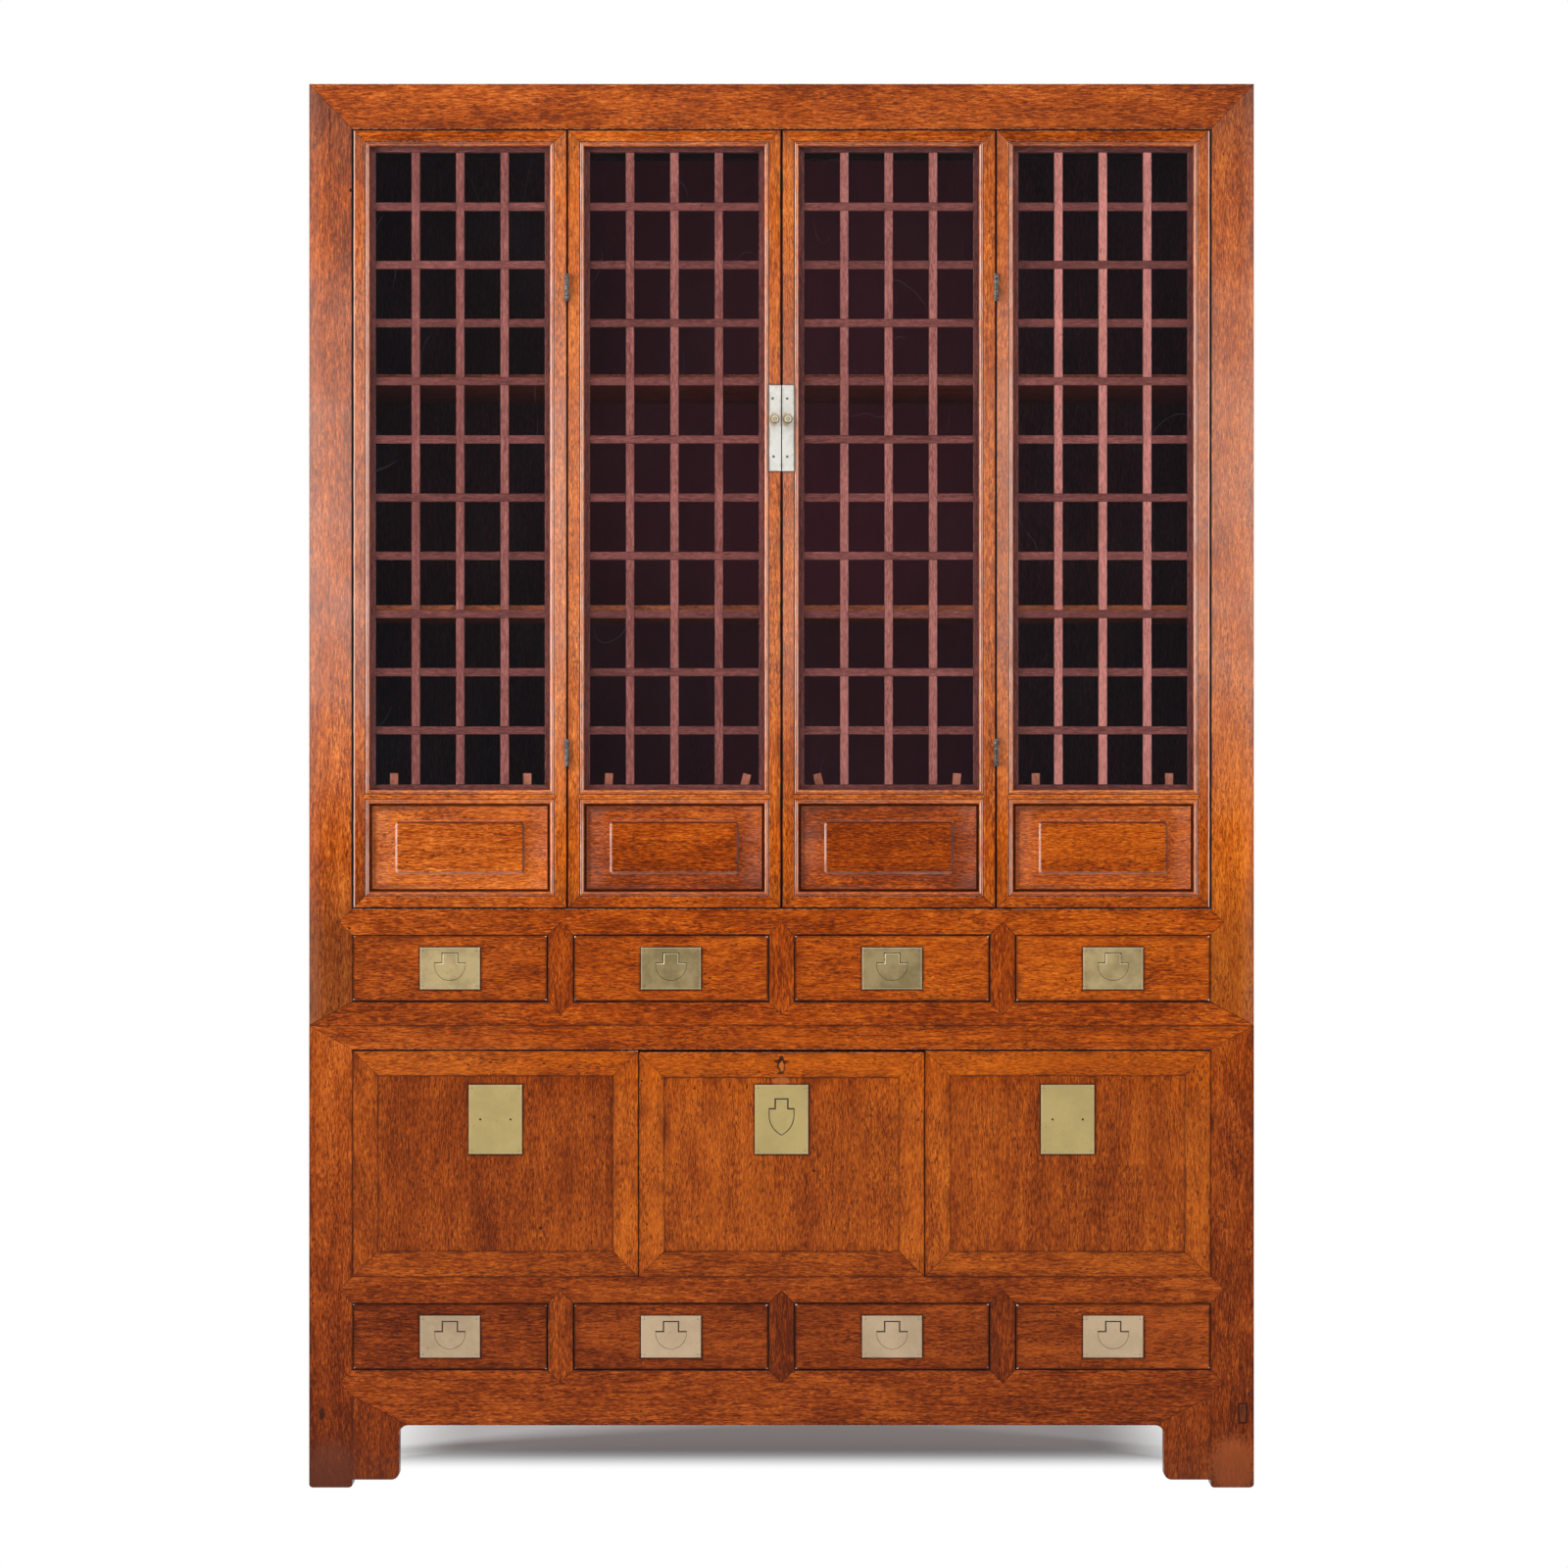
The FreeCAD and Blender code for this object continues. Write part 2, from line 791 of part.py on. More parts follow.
def hinge_gain():
    """What is cut from the edges of the two stiles for the flags of one hinge."""
    reach = running_clearance / 2 + hinge_flag_thickness
    tall = hinge_length / 2 + running_clearance
    return block(
        -reach, reach, face - overrun, face + hinge_flag_depth + running_clearance, -tall, tall
    )


def at_hinges(shape, side):
    """Copies of a shape at the two hinges of the left (-1) or right (1) door."""
    x = side * leaf_pitch
    moved = []
    for rise in hinge_heights:
        copy = shape.copy()
        copy.translate(FreeCAD.Vector(x, 0, door_low + rise))
        moved.append(copy)
    return moved


# Lock plates and knobs


def lock_plate():
    """Plate and knob on the right-hand meeting stile, as two solids."""
    x_low = leaf_gap
    x_high = x_low + leaf_flat
    y_low = face - lock_plate_thickness
    z_low = door_low + lock_plate_rise
    plate = block(x_low, x_high, y_low, face, z_low, z_low + lock_plate_height)
    x = (x_low + x_high) / 2
    rim = knob_radius - knob_rim
    tip = knob_neck_length + knob_length
    widest = knob_neck_length + knob_length * knob_belly_share
    section = [
        (0, 0), (knob_neck_radius, 0), (knob_neck_radius, knob_neck_length),
        (rim, knob_neck_length), (knob_radius, widest), (rim, tip), (0, tip),
    ]
    points = [FreeCAD.Vector(a, -b, 0) for a, b in section + section[:1]]
    knob = Part.Face(Part.makePolygon(points)).revolve(
        FreeCAD.Vector(0, 0, 0), FreeCAD.Vector(0, 1, 0), 360
    )
    knob.translate(FreeCAD.Vector(x, y_low, door_low + knob_rise))
    return [plate, knob]


# Flush pulls


def round_pull_outline(grow):
    """Outline of a drawer pull about the middle of its shoulders: a square neck over
    a half-round bowl. grow is the clearance round it for the hole in the plate."""
    n = neck_width / 2 + grow
    r = shoulder_width / 2 + grow
    side = shoulder_width / 2 - bowl_height
    return [
        (-n, neck_height + grow), (-n, grow), (-r, grow), (-r, side),
        ((0, side - r), (r, side)), (r, grow), (n, grow), (n, neck_height + grow),
    ]


def shield_pull_outline(grow):
    """Outline of the centre panel's pull: a square neck over a pointed shield."""
    n = shield_neck_width / 2 + grow
    r = shield_width / 2 + grow
    low = -shield_height - grow
    sag = shield_side * shield_sag_share
    hip = (r * shield_hip_share, (low - shield_side) / 2 - sag)
    return [
        (-n, shield_neck_height + grow), (-n, grow), (-r, grow), (-r, -shield_side),
        ((-hip[0], hip[1]), (0, low)),
        ((hip[0], hip[1]), (r, -shield_side)), (r, grow), (n, grow),
        (n, shield_neck_height + grow),
    ]


def moved_outline(steps, x, z):
    """An outline shifted in its plane."""
    return redrawn(steps, lambda a, b: (a + x, b + z))


def pull_plate(x, z_low, size, outline, shoulder, z_shoulder):
    """Plate on the face with bevelled edges, a hole for the pull, and a groove in
    its back each side for the trunnions."""
    width, tall = size
    y_low = face - plate_thickness
    plate = block(x - width / 2, x + width / 2, y_low, face, z_low, z_low + tall)
    plate = plate.makeChamfer(plate_bevel, front_edges(plate, y_low))
    hole = prism(moved_outline(outline, x, z_shoulder), "y", y_low - overrun, face + overrun)
    z = z_shoulder - axle_drop
    slot = axle_radius + axle_clearance
    reach = shoulder / 2 + axle_reach + running_clearance
    groove = block(x - reach, x + reach, y_low + axle_depth - slot, face, z - slot, z + slot)
    return plate.cut([hole, groove])


def flush_pull(x, outline, shoulder, z_shoulder):
    """The pull, as thick as its plate, on two trunnions."""
    y_low = face - plate_thickness
    body = prism(moved_outline(outline, x, z_shoulder), "y", y_low, face)
    reach = shoulder / 2 + axle_reach
    y = y_low + axle_depth
    z = z_shoulder - axle_drop
    axle = rod(axle_radius, FreeCAD.Vector(x - reach, y, z), FreeCAD.Vector(x + reach, y, z))
    return body.fuse(axle)


def pull_recess(x, shoulder, neck_top, bowl_low, z_shoulder):
    """What is cut from the wood behind a flush pull."""
    reach = shoulder / 2 + recess_margin
    return block(
        x - reach, x + reach, face - overrun, face + recess_depth,
        z_shoulder - bowl_low - recess_margin, z_shoulder + neck_top + recess_margin,
    )


# Drawers


def plate_low(z_low):
    """Lower edge of a drawer's plate, centred on its front."""
    return z_low + (drawer_bay_height - plate_height) / 2


def drawer_shoulder(z_low):
    """Height of the shoulders of a drawer's pull."""
    return plate_low(z_low) + plate_height - neck_drop - neck_height


def drawer_box(x, z_low):
    """Front, sides, back and bottom of a drawer, as separate boards."""
    reach = drawer_opening / 2 - drawer_gap
    y_in = face + drawer_front_thickness
    front = block(
        x - reach, x + reach, face, y_in,
        z_low + drawer_gap, z_low + drawer_bay_height - drawer_gap,
    )
    front = front.makeFillet(drawer_edge_round, front_edges(front, face))
    recess = pull_recess(x, shoulder_width, neck_height, bowl_height, drawer_shoulder(z_low))
    z_foot = z_low + running_clearance
    z_top = z_low + drawer_bay_height - drawer_side_drop
    wide = drawer_opening / 2 - running_clearance
    thick = drawer_side_thickness
    y_back = y_in + drawer_length
    side = block(x - wide, x - wide + thick, y_in, y_back, z_foot, z_top)
    other = side.mirror(FreeCAD.Vector(x, 0, 0), FreeCAD.Vector(1, 0, 0))
    inner = wide - thick
    z_bottom = z_foot + drawer_bottom_lift
    z_deck = z_bottom + drawer_bottom_thickness
    rear = block(x - inner, x + inner, y_back - thick, y_back, z_bottom, z_top)
    bottom = block(x - inner, x + inner, y_in, y_back - thick, z_bottom, z_deck)
    return [front.cut(recess), side, other, rear, bottom]


def save_drawer(name, x, z_low):
    """The nodes of one drawer: its boards, plate and pull."""
    z = drawer_shoulder(z_low)
    hole = round_pull_outline(pull_clearance)
    size = (plate_width, plate_height)
    save(name, drawer_box(x, z_low))
    save(name + "_plate", [pull_plate(x, plate_low(z_low), size, hole, shoulder_width, z)])
    save(name + "_pull", [flush_pull(x, round_pull_outline(0), shoulder_width, z)])


# Lift-out panels


def panel_centre(i):
    """Middle of one of the three lower panels."""
    pitch = bay_width / panel_count
    return -inside + pitch * (i + 1 / 2)


def shield_shoulder():
    """Height of the shoulders of the centre panel's pull."""
    return panel_high - panel_plate_drop - shield_neck_drop - shield_neck_height


def lift_panel(x, top_gap):
    """Mitred frame round a flush board, standing on the rail."""
    reach = bay_width / panel_count / 2 - panel_gap
    low = panel_low
    high = panel_high - top_gap
    m = panel_member
    xi, xj, zi, zj = x - reach + m, x + reach - m, low + m, high - m
    outlines = [
        [(x - reach, low), (xi, zi), (xi, zj), (x - reach, high)],
        [(x + reach, low), (x + reach, high), (xj, zj), (xj, zi)],
        [(x - reach, low), (x + reach, low), (xj, zi), (xi, zi)],
        [(x - reach, high), (xi, zj), (xj, zj), (x + reach, high)],
    ]
    members = [prism(steps, "y", face, face + panel_thickness) for steps in outlines]
    return members, block(xi, xj, face, face + panel_board_thickness, zi, zj)


def plain_plate(x):
    """Plate of a side panel with two small holes."""
    z_high = panel_high - panel_plate_drop
    z_low = z_high - panel_plate_height
    y_low = face - plate_thickness
    reach = panel_plate_width / 2
    plate = block(x - reach, x + reach, y_low, face, z_low, z_high)
    plate = plate.makeChamfer(plate_bevel, front_edges(plate, y_low))
    z = (z_low + z_high) / 2
    holes = []
    for side in (-1, 1):
        at = x + side * panel_plate_hole_spacing / 2
        start = FreeCAD.Vector(at, y_low - overrun, z)
        holes.append(rod(panel_plate_hole_radius, start, FreeCAD.Vector(at, face + overrun, z)))
    return plate.cut(holes)


def save_panels():
    """The nodes of the three lift-out panels."""
    names = ("left_lower_panel", "centre_lower_panel", "right_lower_panel")
    for i, name in enumerate(names):
        x = panel_centre(i)
        centre = i == 1
        members, board = lift_panel(x, centre_top_gap if centre else side_top_gap)
        if centre:
            z = shield_shoulder()
            recess = pull_recess(x, shield_width, shield_neck_height, shield_height, z)
            board = board.cut(recess)
            size = (panel_plate_width, panel_plate_height)
            z_low = panel_high - panel_plate_drop - panel_plate_height
            hole = shield_pull_outline(pull_clearance)
            save(name + "_plate", [pull_plate(x, z_low, size, hole, shield_width, z)])
            save(name + "_pull", [flush_pull(x, shield_pull_outline(0), shield_width, z)])
        else:
            save(name + "_plate", [plain_plate(x)])
        save(name, members + [board])


# Leaves in their places


def leaf_left(i):
    """Left edge of one of the four leaves."""
    return -inside + i * leaf_pitch + leaf_gap


def in_place(shapes, i):
    """Shapes of a leaf moved from the origin to its place in the opening."""
    moved = []
    for shape in shapes:
        copy = shape.copy()
        copy.translate(FreeCAD.Vector(leaf_left(i), face, door_low + leaf_gap))
        moved.append(copy)
    return moved


def save_leaves():
    """The nodes of the fixed leaves, the doors and what is on them."""
    gains = [g for side in (-1, 1) for g in at_hinges(hinge_gain(), side)]
    nails = [button_nail(x) for x in button_places()]
    frame = cut_each(leaf_members(), nails)
    frames = [cut_each(in_place(frame, i), gains) for i in range(leaf_count)]
    field = [in_place([field_panel()], i) for i in range(leaf_count)]
    glass = [in_place([pane()], i) for i in range(leaf_count)]
    nails = [in_place(nails, i) for i in range(leaf_count)]
    grids = [in_place(lattice(i in (1, 2)), i) for i in range(leaf_count)]
    door_half = hinge_half(False).cut(hinge_pin(hinge_pin_radius + pin_clearance))
    fixed_half = hinge_half(True).fuse(hinge_pin(hinge_pin_radius))
    flip = (FreeCAD.Vector(0, 0, 0), FreeCAD.Vector(1, 0, 0))
    door_halves = at_hinges(door_half, -1), at_hinges(door_half.mirror(*flip), 1)
    fixed = at_hinges(fixed_half.mirror(*flip), -1) + at_hinges(fixed_half, 1)
    plates = lock_plate()
    for name, i, plate in (
        ("left_door", 1, [p.mirror(*flip) for p in plates]), ("right_door", 2, plates)
    ):
        save(name + "_frame", frames[i])
        save(name + "_field_panel", field[i])
        save(name + "_glass", glass[i])
        save(name + "_lattice", grids[i])
        save(name + "_lock_plate", plate)
        save(name + "_iron", door_halves[i - 1] + nails[i])
    save("fixed_leaf_frames", frames[0] + frames[3] + field[0] + field[3])
    save("fixed_leaf_glass", glass[0] + glass[3])
    save("fixed_leaf_lattices", grids[0] + grids[3])
    save("fixed_iron", fixed + nails[0] + nails[3])


def save_buttons():
    """The eight turn-buttons, two behind each leaf."""
    leans = iter(button_leans_deg)
    owners = ("left_leaf", "left_door", "right_door", "right_leaf")
    for i, owner in enumerate(owners):
        for side, x in zip(("left", "right"), button_places()):
            button = turn_button(x, next(leans))
            save(owner + "_" + side + "_turn_button", in_place([button], i))


def save_cases():
    """The nodes of the two cases: frames, boards, shelves and runners."""
    upper_posts, upper_rest, upper_uprights = upper_frame()
    lower_posts, lower_rest, lower_uprights = lower_frame()
    upper_boards, lower_boards, laid = case_boards(upper_posts, lower_posts)
    upper = cut_each(upper_posts + upper_rest, upper_boards) + upper_uprights
    lower = cut_each(lower_posts + lower_rest, lower_boards) + lower_uprights
    save("upper_case_frame", upper)
    save("lower_case_frame", lower)
    save("case_boards", upper_boards + lower_boards + laid)
    save("shelves", shelves(upper_posts))
    upper_member = (post_width, post_depth)
    lower_member = (rail_depth, rail_depth)
    runners = drawer_runners(upper_bearer_top, upper_member, (door_rail_low, door_low))
    runners += drawer_runners(lower_bearer_top, lower_member, (panel_rail_low, panel_low))
    save("drawer_runners", runners)


def main():
    """Builds every node and writes it to its own file."""
    os.makedirs("parts", exist_ok=True)
    save_cases()
    save_leaves()
    save_buttons()
    save_panels()
    for row, z_low in (("upper", upper_bearer_top), ("lower", lower_bearer_top)):
        for i, x in enumerate(drawer_centres()):
            save_drawer(row + "_drawer_" + str(i + 1), x, z_low)


if __name__ == "__main__":
    main()
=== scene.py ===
import json
import math
import random

import bmesh
import bpy
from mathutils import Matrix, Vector
from mathutils.bvhtree import BVHTree

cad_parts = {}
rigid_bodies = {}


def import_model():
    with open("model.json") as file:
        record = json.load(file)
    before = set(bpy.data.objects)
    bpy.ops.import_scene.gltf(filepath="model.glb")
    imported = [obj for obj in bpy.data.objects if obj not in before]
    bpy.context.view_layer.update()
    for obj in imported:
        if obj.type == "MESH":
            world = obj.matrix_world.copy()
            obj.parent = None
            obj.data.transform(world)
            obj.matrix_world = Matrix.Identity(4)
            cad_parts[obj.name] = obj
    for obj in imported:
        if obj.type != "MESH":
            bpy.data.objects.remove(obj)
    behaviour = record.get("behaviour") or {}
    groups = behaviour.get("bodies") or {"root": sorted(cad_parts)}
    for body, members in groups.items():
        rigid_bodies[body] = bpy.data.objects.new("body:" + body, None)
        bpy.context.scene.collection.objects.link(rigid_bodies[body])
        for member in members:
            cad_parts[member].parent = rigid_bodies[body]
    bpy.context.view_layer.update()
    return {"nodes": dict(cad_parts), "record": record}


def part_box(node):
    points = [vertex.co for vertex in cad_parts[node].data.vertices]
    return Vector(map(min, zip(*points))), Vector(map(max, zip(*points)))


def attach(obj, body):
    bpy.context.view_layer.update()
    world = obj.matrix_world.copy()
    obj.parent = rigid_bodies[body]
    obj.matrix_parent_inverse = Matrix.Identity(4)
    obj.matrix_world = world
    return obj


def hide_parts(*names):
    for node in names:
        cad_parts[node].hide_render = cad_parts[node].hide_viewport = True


# Looks of a tall book cabinet in two cases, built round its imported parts.
# Metres; X to the right, Y from front to back, Z up.

for leftover in list(bpy.data.objects):
    bpy.data.objects.remove(leftover)
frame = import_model()
chance = random.Random(7)

# The photograph is 1600 pixels square and seen square from the front
photo_pixels = 1600
metres_per_pixel = 0.001473
photo_middle_x = 797.5
photo_floor_y = 1518.0

# Widths of the bevels on wood and metal where members meet, across a gap, and free
wood_arrises = {"joint": 0.0005, "gap": 0.0013, "free": 0.0008}
drawer_arrises = {"joint": 0.0004, "gap": 0.0012, "free": 0.0006}
lattice_arrises = {"joint": 0.0004, "gap": 0.0005, "free": 0.0005}
metal_arrises = {"joint": 0.0003, "gap": 0.0008, "free": 0.0011}
iron_arrises = {"joint": 0.0002, "gap": 0.0003, "free": 0.0004}
sharp_angle = math.radians(28)
foot_corner = 0.0050

# Raised panels of the leaves: half the table, its corners, and the depths round it
table_half = (0.095, 0.0375)
table_corner = 0.005
table_round = 0.0008
ring_depth = 0.0015
ring_fall = 0.0006
hollow = 0.0036
field_round = 0.0014
tongue_width = 0.0097
tongue_depth = 0.0076

# Solids are told apart by size: lattice bars from rims, boards from rails, tall uprights
widest_bar = 0.0135
board_width = 0.1
thin_board = 0.02
tall_member = 0.5

# How far past an edge another solid is looked for, flush or across a gap
touching_reach = 0.0003
gap_reach = 0.0030
# Bevel marks: dark on joints, darkest across a gap as painted shade in it, and pale on free arrises
# as wear that also paints their highlight
edge_marks = {"joint": 0.5, "gap": 1.0, "free": -1.0}

# Outlines of the leaves: distances from the middle, and lowest and highest edge
leaf_low, leaf_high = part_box("left_door_frame")
outer_leaf_edge = -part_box("fixed_leaf_frames")[0].x
leaf_joints = (0.0, -leaf_low.x + 0.0004)

# Where the inside of the cases starts: each pair of places is a soft border
inside_front = (-0.204, -0.197)
inside_back = (0.232, 0.236)
inside_sides = (0.694, 0.698)
inside_top = (2.092, 2.098)

# Marks on the wood, painted sheen among them: each pair is a range of places over which one comes
# or goes
front_face = (-0.20, -0.19)
sheen_rise, sheen_fall, outer_sheen = (0.96, 1.34), (1.58, 1.95), (0.685, 0.71)
dark_foot, dark_head, dark_aside = (0.80, 0.98), (1.93, 2.10), (-0.5, 0.6)
rich_bottom, rich_top, rich_left = (0.56, 0.62), (0.98, 1.04), (-0.50, -0.30)
back_middle, back_planks = (0.25, 0.41), (0.20, 0.21)
soil_height = (0.035, 0.12)

# Leaf members: the quirk before the bead, painted dark as shade, and how much painted highlight the
# bead carries up to each place inward
quirk_depth, quirk_inward = 0.0018, 0.0059
bead_depths = (0.0003, 0.0046)
bead_highlights = ((0.0007, 0.0), (0.0020, 0.25), (0.0030, 1.0), (0.0052, 0.15), (0.0062, 1.0))
moulded_depth = 0.012

# Grain: width of a growth ring, and how much one step of tone lightens a member
ring_width = 0.0085
tone_step = 0.20

# Members that are lighter (above 0) or darker than others of their wood, by a place in
# the photograph; a fourth number tells how much lighter they grow per metre of length
toned_places = (
    (470, 865, 0.7), (688, 865, -0.85), (905, 865, -1.0), (1125, 865, 0.6), (366, 600, 0.2),
    (570, 600, 1.4), (586, 600, 1.3), (785, 600, 0.9), (806, 600, 0.8), (1006, 600, 1.1),
    (1024, 600, 1.2), (1226, 600, 0.7), (500, 813, 1.35), (720, 813, 1.3), (905, 813, 1.3),
    (1125, 813, 1.35), (338, 500, 0.2, -1.6), (1256, 500, 0.95, -1.7), (800, 108, -0.25, -0.55),
    (800, 940, 0.0), (800, 1033, -0.4, 0.3), (800, 1059, 0.9), (338, 1200, -0.25, 6.5),
    (1257, 1200, 0.0, 4.0), (420, 1180, -0.45), (700, 1150, 0.6), (1100, 1230, 0.2),
    (370, 1200, 0.4), (640, 1190, 1.45), (668, 1190, 1.3), (924, 1190, 1.1), (958, 1190, 1.2),
    (1217, 1190, 1.2), (510, 1088, 1.6), (735, 1088, 1.6), (1090, 1088, 1.9), (510, 1291, 0.3),
    (800, 1291, -0.1), (1090, 1291, 0.7), (800, 1316, 0.0), (800, 1430, -0.05, -0.6),
    (385, 1480, -1.2), (1210, 1480, -0.3), (400, 990, -0.45, 0.6), (620, 990, 0.4),
    (840, 990, 0.85, 0.8), (1200, 990, 1.2, 0.8), (400, 1364, 0.0, 2.2), (620, 1364, 0.5, 2.0),
    (840, 1364, 1.0, 1.5), (1200, 1364, 1.9, 6.0), (572, 990, -1.1), (795, 990, -0.3),
    (1019, 990, -1.15), (573, 1364, 0.65), (796, 1364, -0.95), (1021, 1364, -0.7), (458, 992, -1.0),
    (684, 992, 2.1), (910, 992, 2.1), (1137, 992, -0.1), (458, 1364, 2.2), (684, 1364, -0.3),
    (910, 1364, 0.3), (1137, 1364, -0.8), (505, 1140, 0.3), (797, 1140, -0.1), (1088, 1140, -0.3),
)
# How much painted sheen, standing in for the lamps' reflection, the tall upright members carry, by
# a column of the photograph, and the top rail.
# Those with more of it than the top rail have darker ends
sheen_columns = (
    (338, 1.0), (366, 0.95), (570, 1.0), (586, 0.4), (785, 0.35), (806, 0.65), (1006, 0.4),
    (1024, 0.95), (1226, 1.0), (1256, 0.9),
)
top_rail_sheen = 0.3
dark_end_sheen = (0.31, 0.34)
# How light the upright bars of each lattice are, from the left leaf to the right, and the
# edges of the high and the low shelf, which part at a height
lattice_tones = (0.6, 0.65, 1.45, 2.7)
shelf_tones = (-1.3, 1.5)
between_shelves = 1.5

# Soft boxes: place, point that they shine at, width, height and watts
lamps = {
    "left_box": ((-4.1, -2.5, 2.2), (0.0, 0.0, 1.05), 1.5, 2.6, 178.0),
    "right_box": ((4.1, -2.7, 2.2), (0.0, 0.0, 1.05), 0.8, 2.6, 58.0),
    "high_box": ((0.0, -3.0, 4.4), (0.0, 0.0, 1.3), 3.0, 1.2, 52.0),
}
ambient = 0.29
mirrored_front, mirrored_sides = 0.10, 0.9
floor_reach = 30.0
floor_drop = 0.0005
camera_distance = 9.0
sensor_width = 36.0


def from_photo(px, py):
    """Place in the front plane, (x, z) in metres, of a pixel of the photograph."""
    x = (px - photo_middle_x) * metres_per_pixel
    z = (photo_floor_y - py) * metres_per_pixel
    return x, z


def add(name, data):
    """A new object in the scene."""
    made = bpy.data.objects.new(name, data)
    bpy.context.scene.collection.objects.link(made)
    return made


# Node trees


def operation(name):
    """A method of Nodes for one operation of the Math node."""
    return lambda s, *values, clamp=False: s.math(name, *values, clamp=clamp)


class Nodes:
    """The node tree of a material or a world, with short calls for what it needs."""

    times, plus, minus = operation("MULTIPLY"), operation("ADD"), operation("SUBTRACT")
    larger, smaller, size = operation("MAXIMUM"), operation("MINIMUM"), operation("ABSOLUTE")
    times_plus = operation("MULTIPLY_ADD")

    def __init__(self, owner):
        owner.use_nodes = True
        self.owner = owner
        self.tree = owner.node_tree
        self.tree.nodes.clear()
        self.colour = None

    def node(self, kind, inputs=None, **settings):
        made = self.tree.nodes.new("ShaderNode" + kind)
        for key, value in settings.items():
            setattr(made, key, value)
        for key, value in (inputs or {}).items():
            if isinstance(value, bpy.types.NodeSocket):
                self.tree.links.new(value, made.inputs[key])
            else:
                made.inputs[key].default_value = value
        return made

    def math(self, operation, *values, clamp=False):
        inputs = dict(enumerate(values))
        return self.node("Math", inputs, operation=operation, use_clamp=clamp).outputs[0]

    def apart(self, a, b):
        return self.size(self.minus(a, b))

    def vector(self, operation, *values):
        inputs = dict(enumerate(values))
        return self.node("VectorMath", inputs, operation=operation).outputs[0]

    def length(self, a):
        return self.node("VectorMath", {0: a}, operation="LENGTH").outputs["Value"]

    def place(self, kind="Object"):
        return self.node("TexCoord").outputs[kind]

    def xyz(self, vector=None):
        """The three parts of a vector, or else of the place on the object."""
        if vector is None:
            vector = self.place()
        return tuple(self.node("SeparateXYZ", {0: vector}).outputs)

    def attribute(self, name, output="Vector"):
        return self.node("Attribute", attribute_name=name).outputs[output]

    def noise(self, place, scale, detail=2.0, roughness=0.5, lift=0.0):
        """Noise of a place whose three axes are stretched by scale."""
        stretched = self.vector("MULTIPLY_ADD", place, scale, (lift, lift, lift))
        inputs = {"Vector": stretched, "Scale": 1.0, "Detail": detail, "Roughness": roughness}
        return self.node("TexNoise", inputs).outputs["Fac"]

    def steps(self, value, low, high, to_low=0.0, to_high=1.0):
        """Smooth change from one number to another as value goes from low to high."""
        inputs = {
            "Value": value, "From Min": low, "From Max": high, "To Min": to_low, "To Max": to_high,
        }
        return self.node("MapRange", inputs, interpolation_type="SMOOTHSTEP").outputs["Result"]

    def near(self, distance, full, none, most=1.0):
        """Share of a mark: most up to one distance and none from another."""
        return self.steps(distance, full, none, most, 0.0)

    def mix(self, share, a, b, blend="MIX"):
        inputs = {"Factor": share, "A": a, "B": b}
        return self.node("Mix", inputs, data_type="RGBA", blend_type=blend).outputs["Result"]

    def paint(self, share, over, blend="MIX"):
        """Lays a colour over the colour so far."""
        self.colour = self.mix(share, self.colour, over, blend)

    def ramp(self, value, *stops):
        made = self.node("ValToRGB", {"Fac": value})
        line = made.color_ramp
        line.elements[0].position, line.elements[0].color = stops[0]
        line.elements[1].position, line.elements[1].color = stops[-1]
        for place, colour in stops[1:-1]:
            line.elements.new(place).color = colour
        return made.outputs["Color"]

    def bump(self, height, strength, distance):
        inputs = {"Height": height, "Strength": strength, "Distance": distance}
        return self.node("Bump", inputs).outputs["Normal"]

    def principled(self, inputs):
        return self.node("BsdfPrincipled", inputs).outputs["BSDF"]

    def finish(self, surface, kind="OutputMaterial"):
        self.node(kind, {"Surface": surface})
        return self.owner


def rgb(r, g, b):
    return (r, g, b, 1.0)


seam_brown = rgb(0.010, 0.004, 0.003)
speck_brown = rgb(0.06, 0.045, 0.03)


# Places on a member and on the cabinet


def edge_distances(s):
    """Distance to the nearest side of a member's box and to its nearest corner, both
    seen square to the surface."""
    aside = s.vector("ADD", s.vector("ABSOLUTE", s.place("Normal")), (0.6, 0.6, 0.6))
    aside = s.vector("FLOOR", aside)
    near = s.vector("MINIMUM", s.attribute("to_low"), s.attribute("to_high"))
    found = []
    for step, pick in (("ADD", "MINIMUM"), ("SUBTRACT", "MAXIMUM")):
        x, y, z = s.xyz(s.vector(step, near, aside))
        found.append(s.math(pick, s.math(pick, x, y), z))
    return found


def facing_front(s):
    """1 on flat faces and 0 on mouldings, whose faces lean to the side."""
    x, y, z = s.xyz(s.vector("ABSOLUTE", s.place("Normal")))
    return s.steps(s.larger(s.larger(x, y), z), 0.97, 0.995)


def plate_distance(s):
    """Distance on the front outward from the metal plate that a member carries."""
    low, high = s.attribute("from_low"), s.attribute("from_high")
    x, y, z = s.xyz(s.vector("MINIMUM", low, high))
    return s.plus(s.times(s.smaller(x, z), -1.0), s.near(y, -0.006, -0.004))


def inside_share(s):
    """1 on surfaces inside the cases and 0 on their outsides."""
    x, y, z = s.xyz()
    between = s.times(s.steps(y, *inside_front), s.near(y, *inside_back))
    return s.times(between, s.times(s.near(s.size(x), *inside_sides), s.near(z, *inside_top)))


def middle_share(s):
    """1 on the back behind the two doors and 0 beside them."""
    x, y, _ = s.xyz()
    return s.times(s.near(s.size(x), *back_middle), s.steps(y, *back_planks))


def front_share(s, y):
    """1 on the front of the cabinet and 0 behind it."""
    return s.near(y, *front_face)


def rich_share(s):
    """1 in the middle of the front, where the lacquer is clearest and the wood reddest."""
    x, _, z = s.xyz()
    level = s.times(s.steps(z, *rich_bottom), s.near(z, *rich_top))
    return s.times(level, s.steps(x, *rich_left))


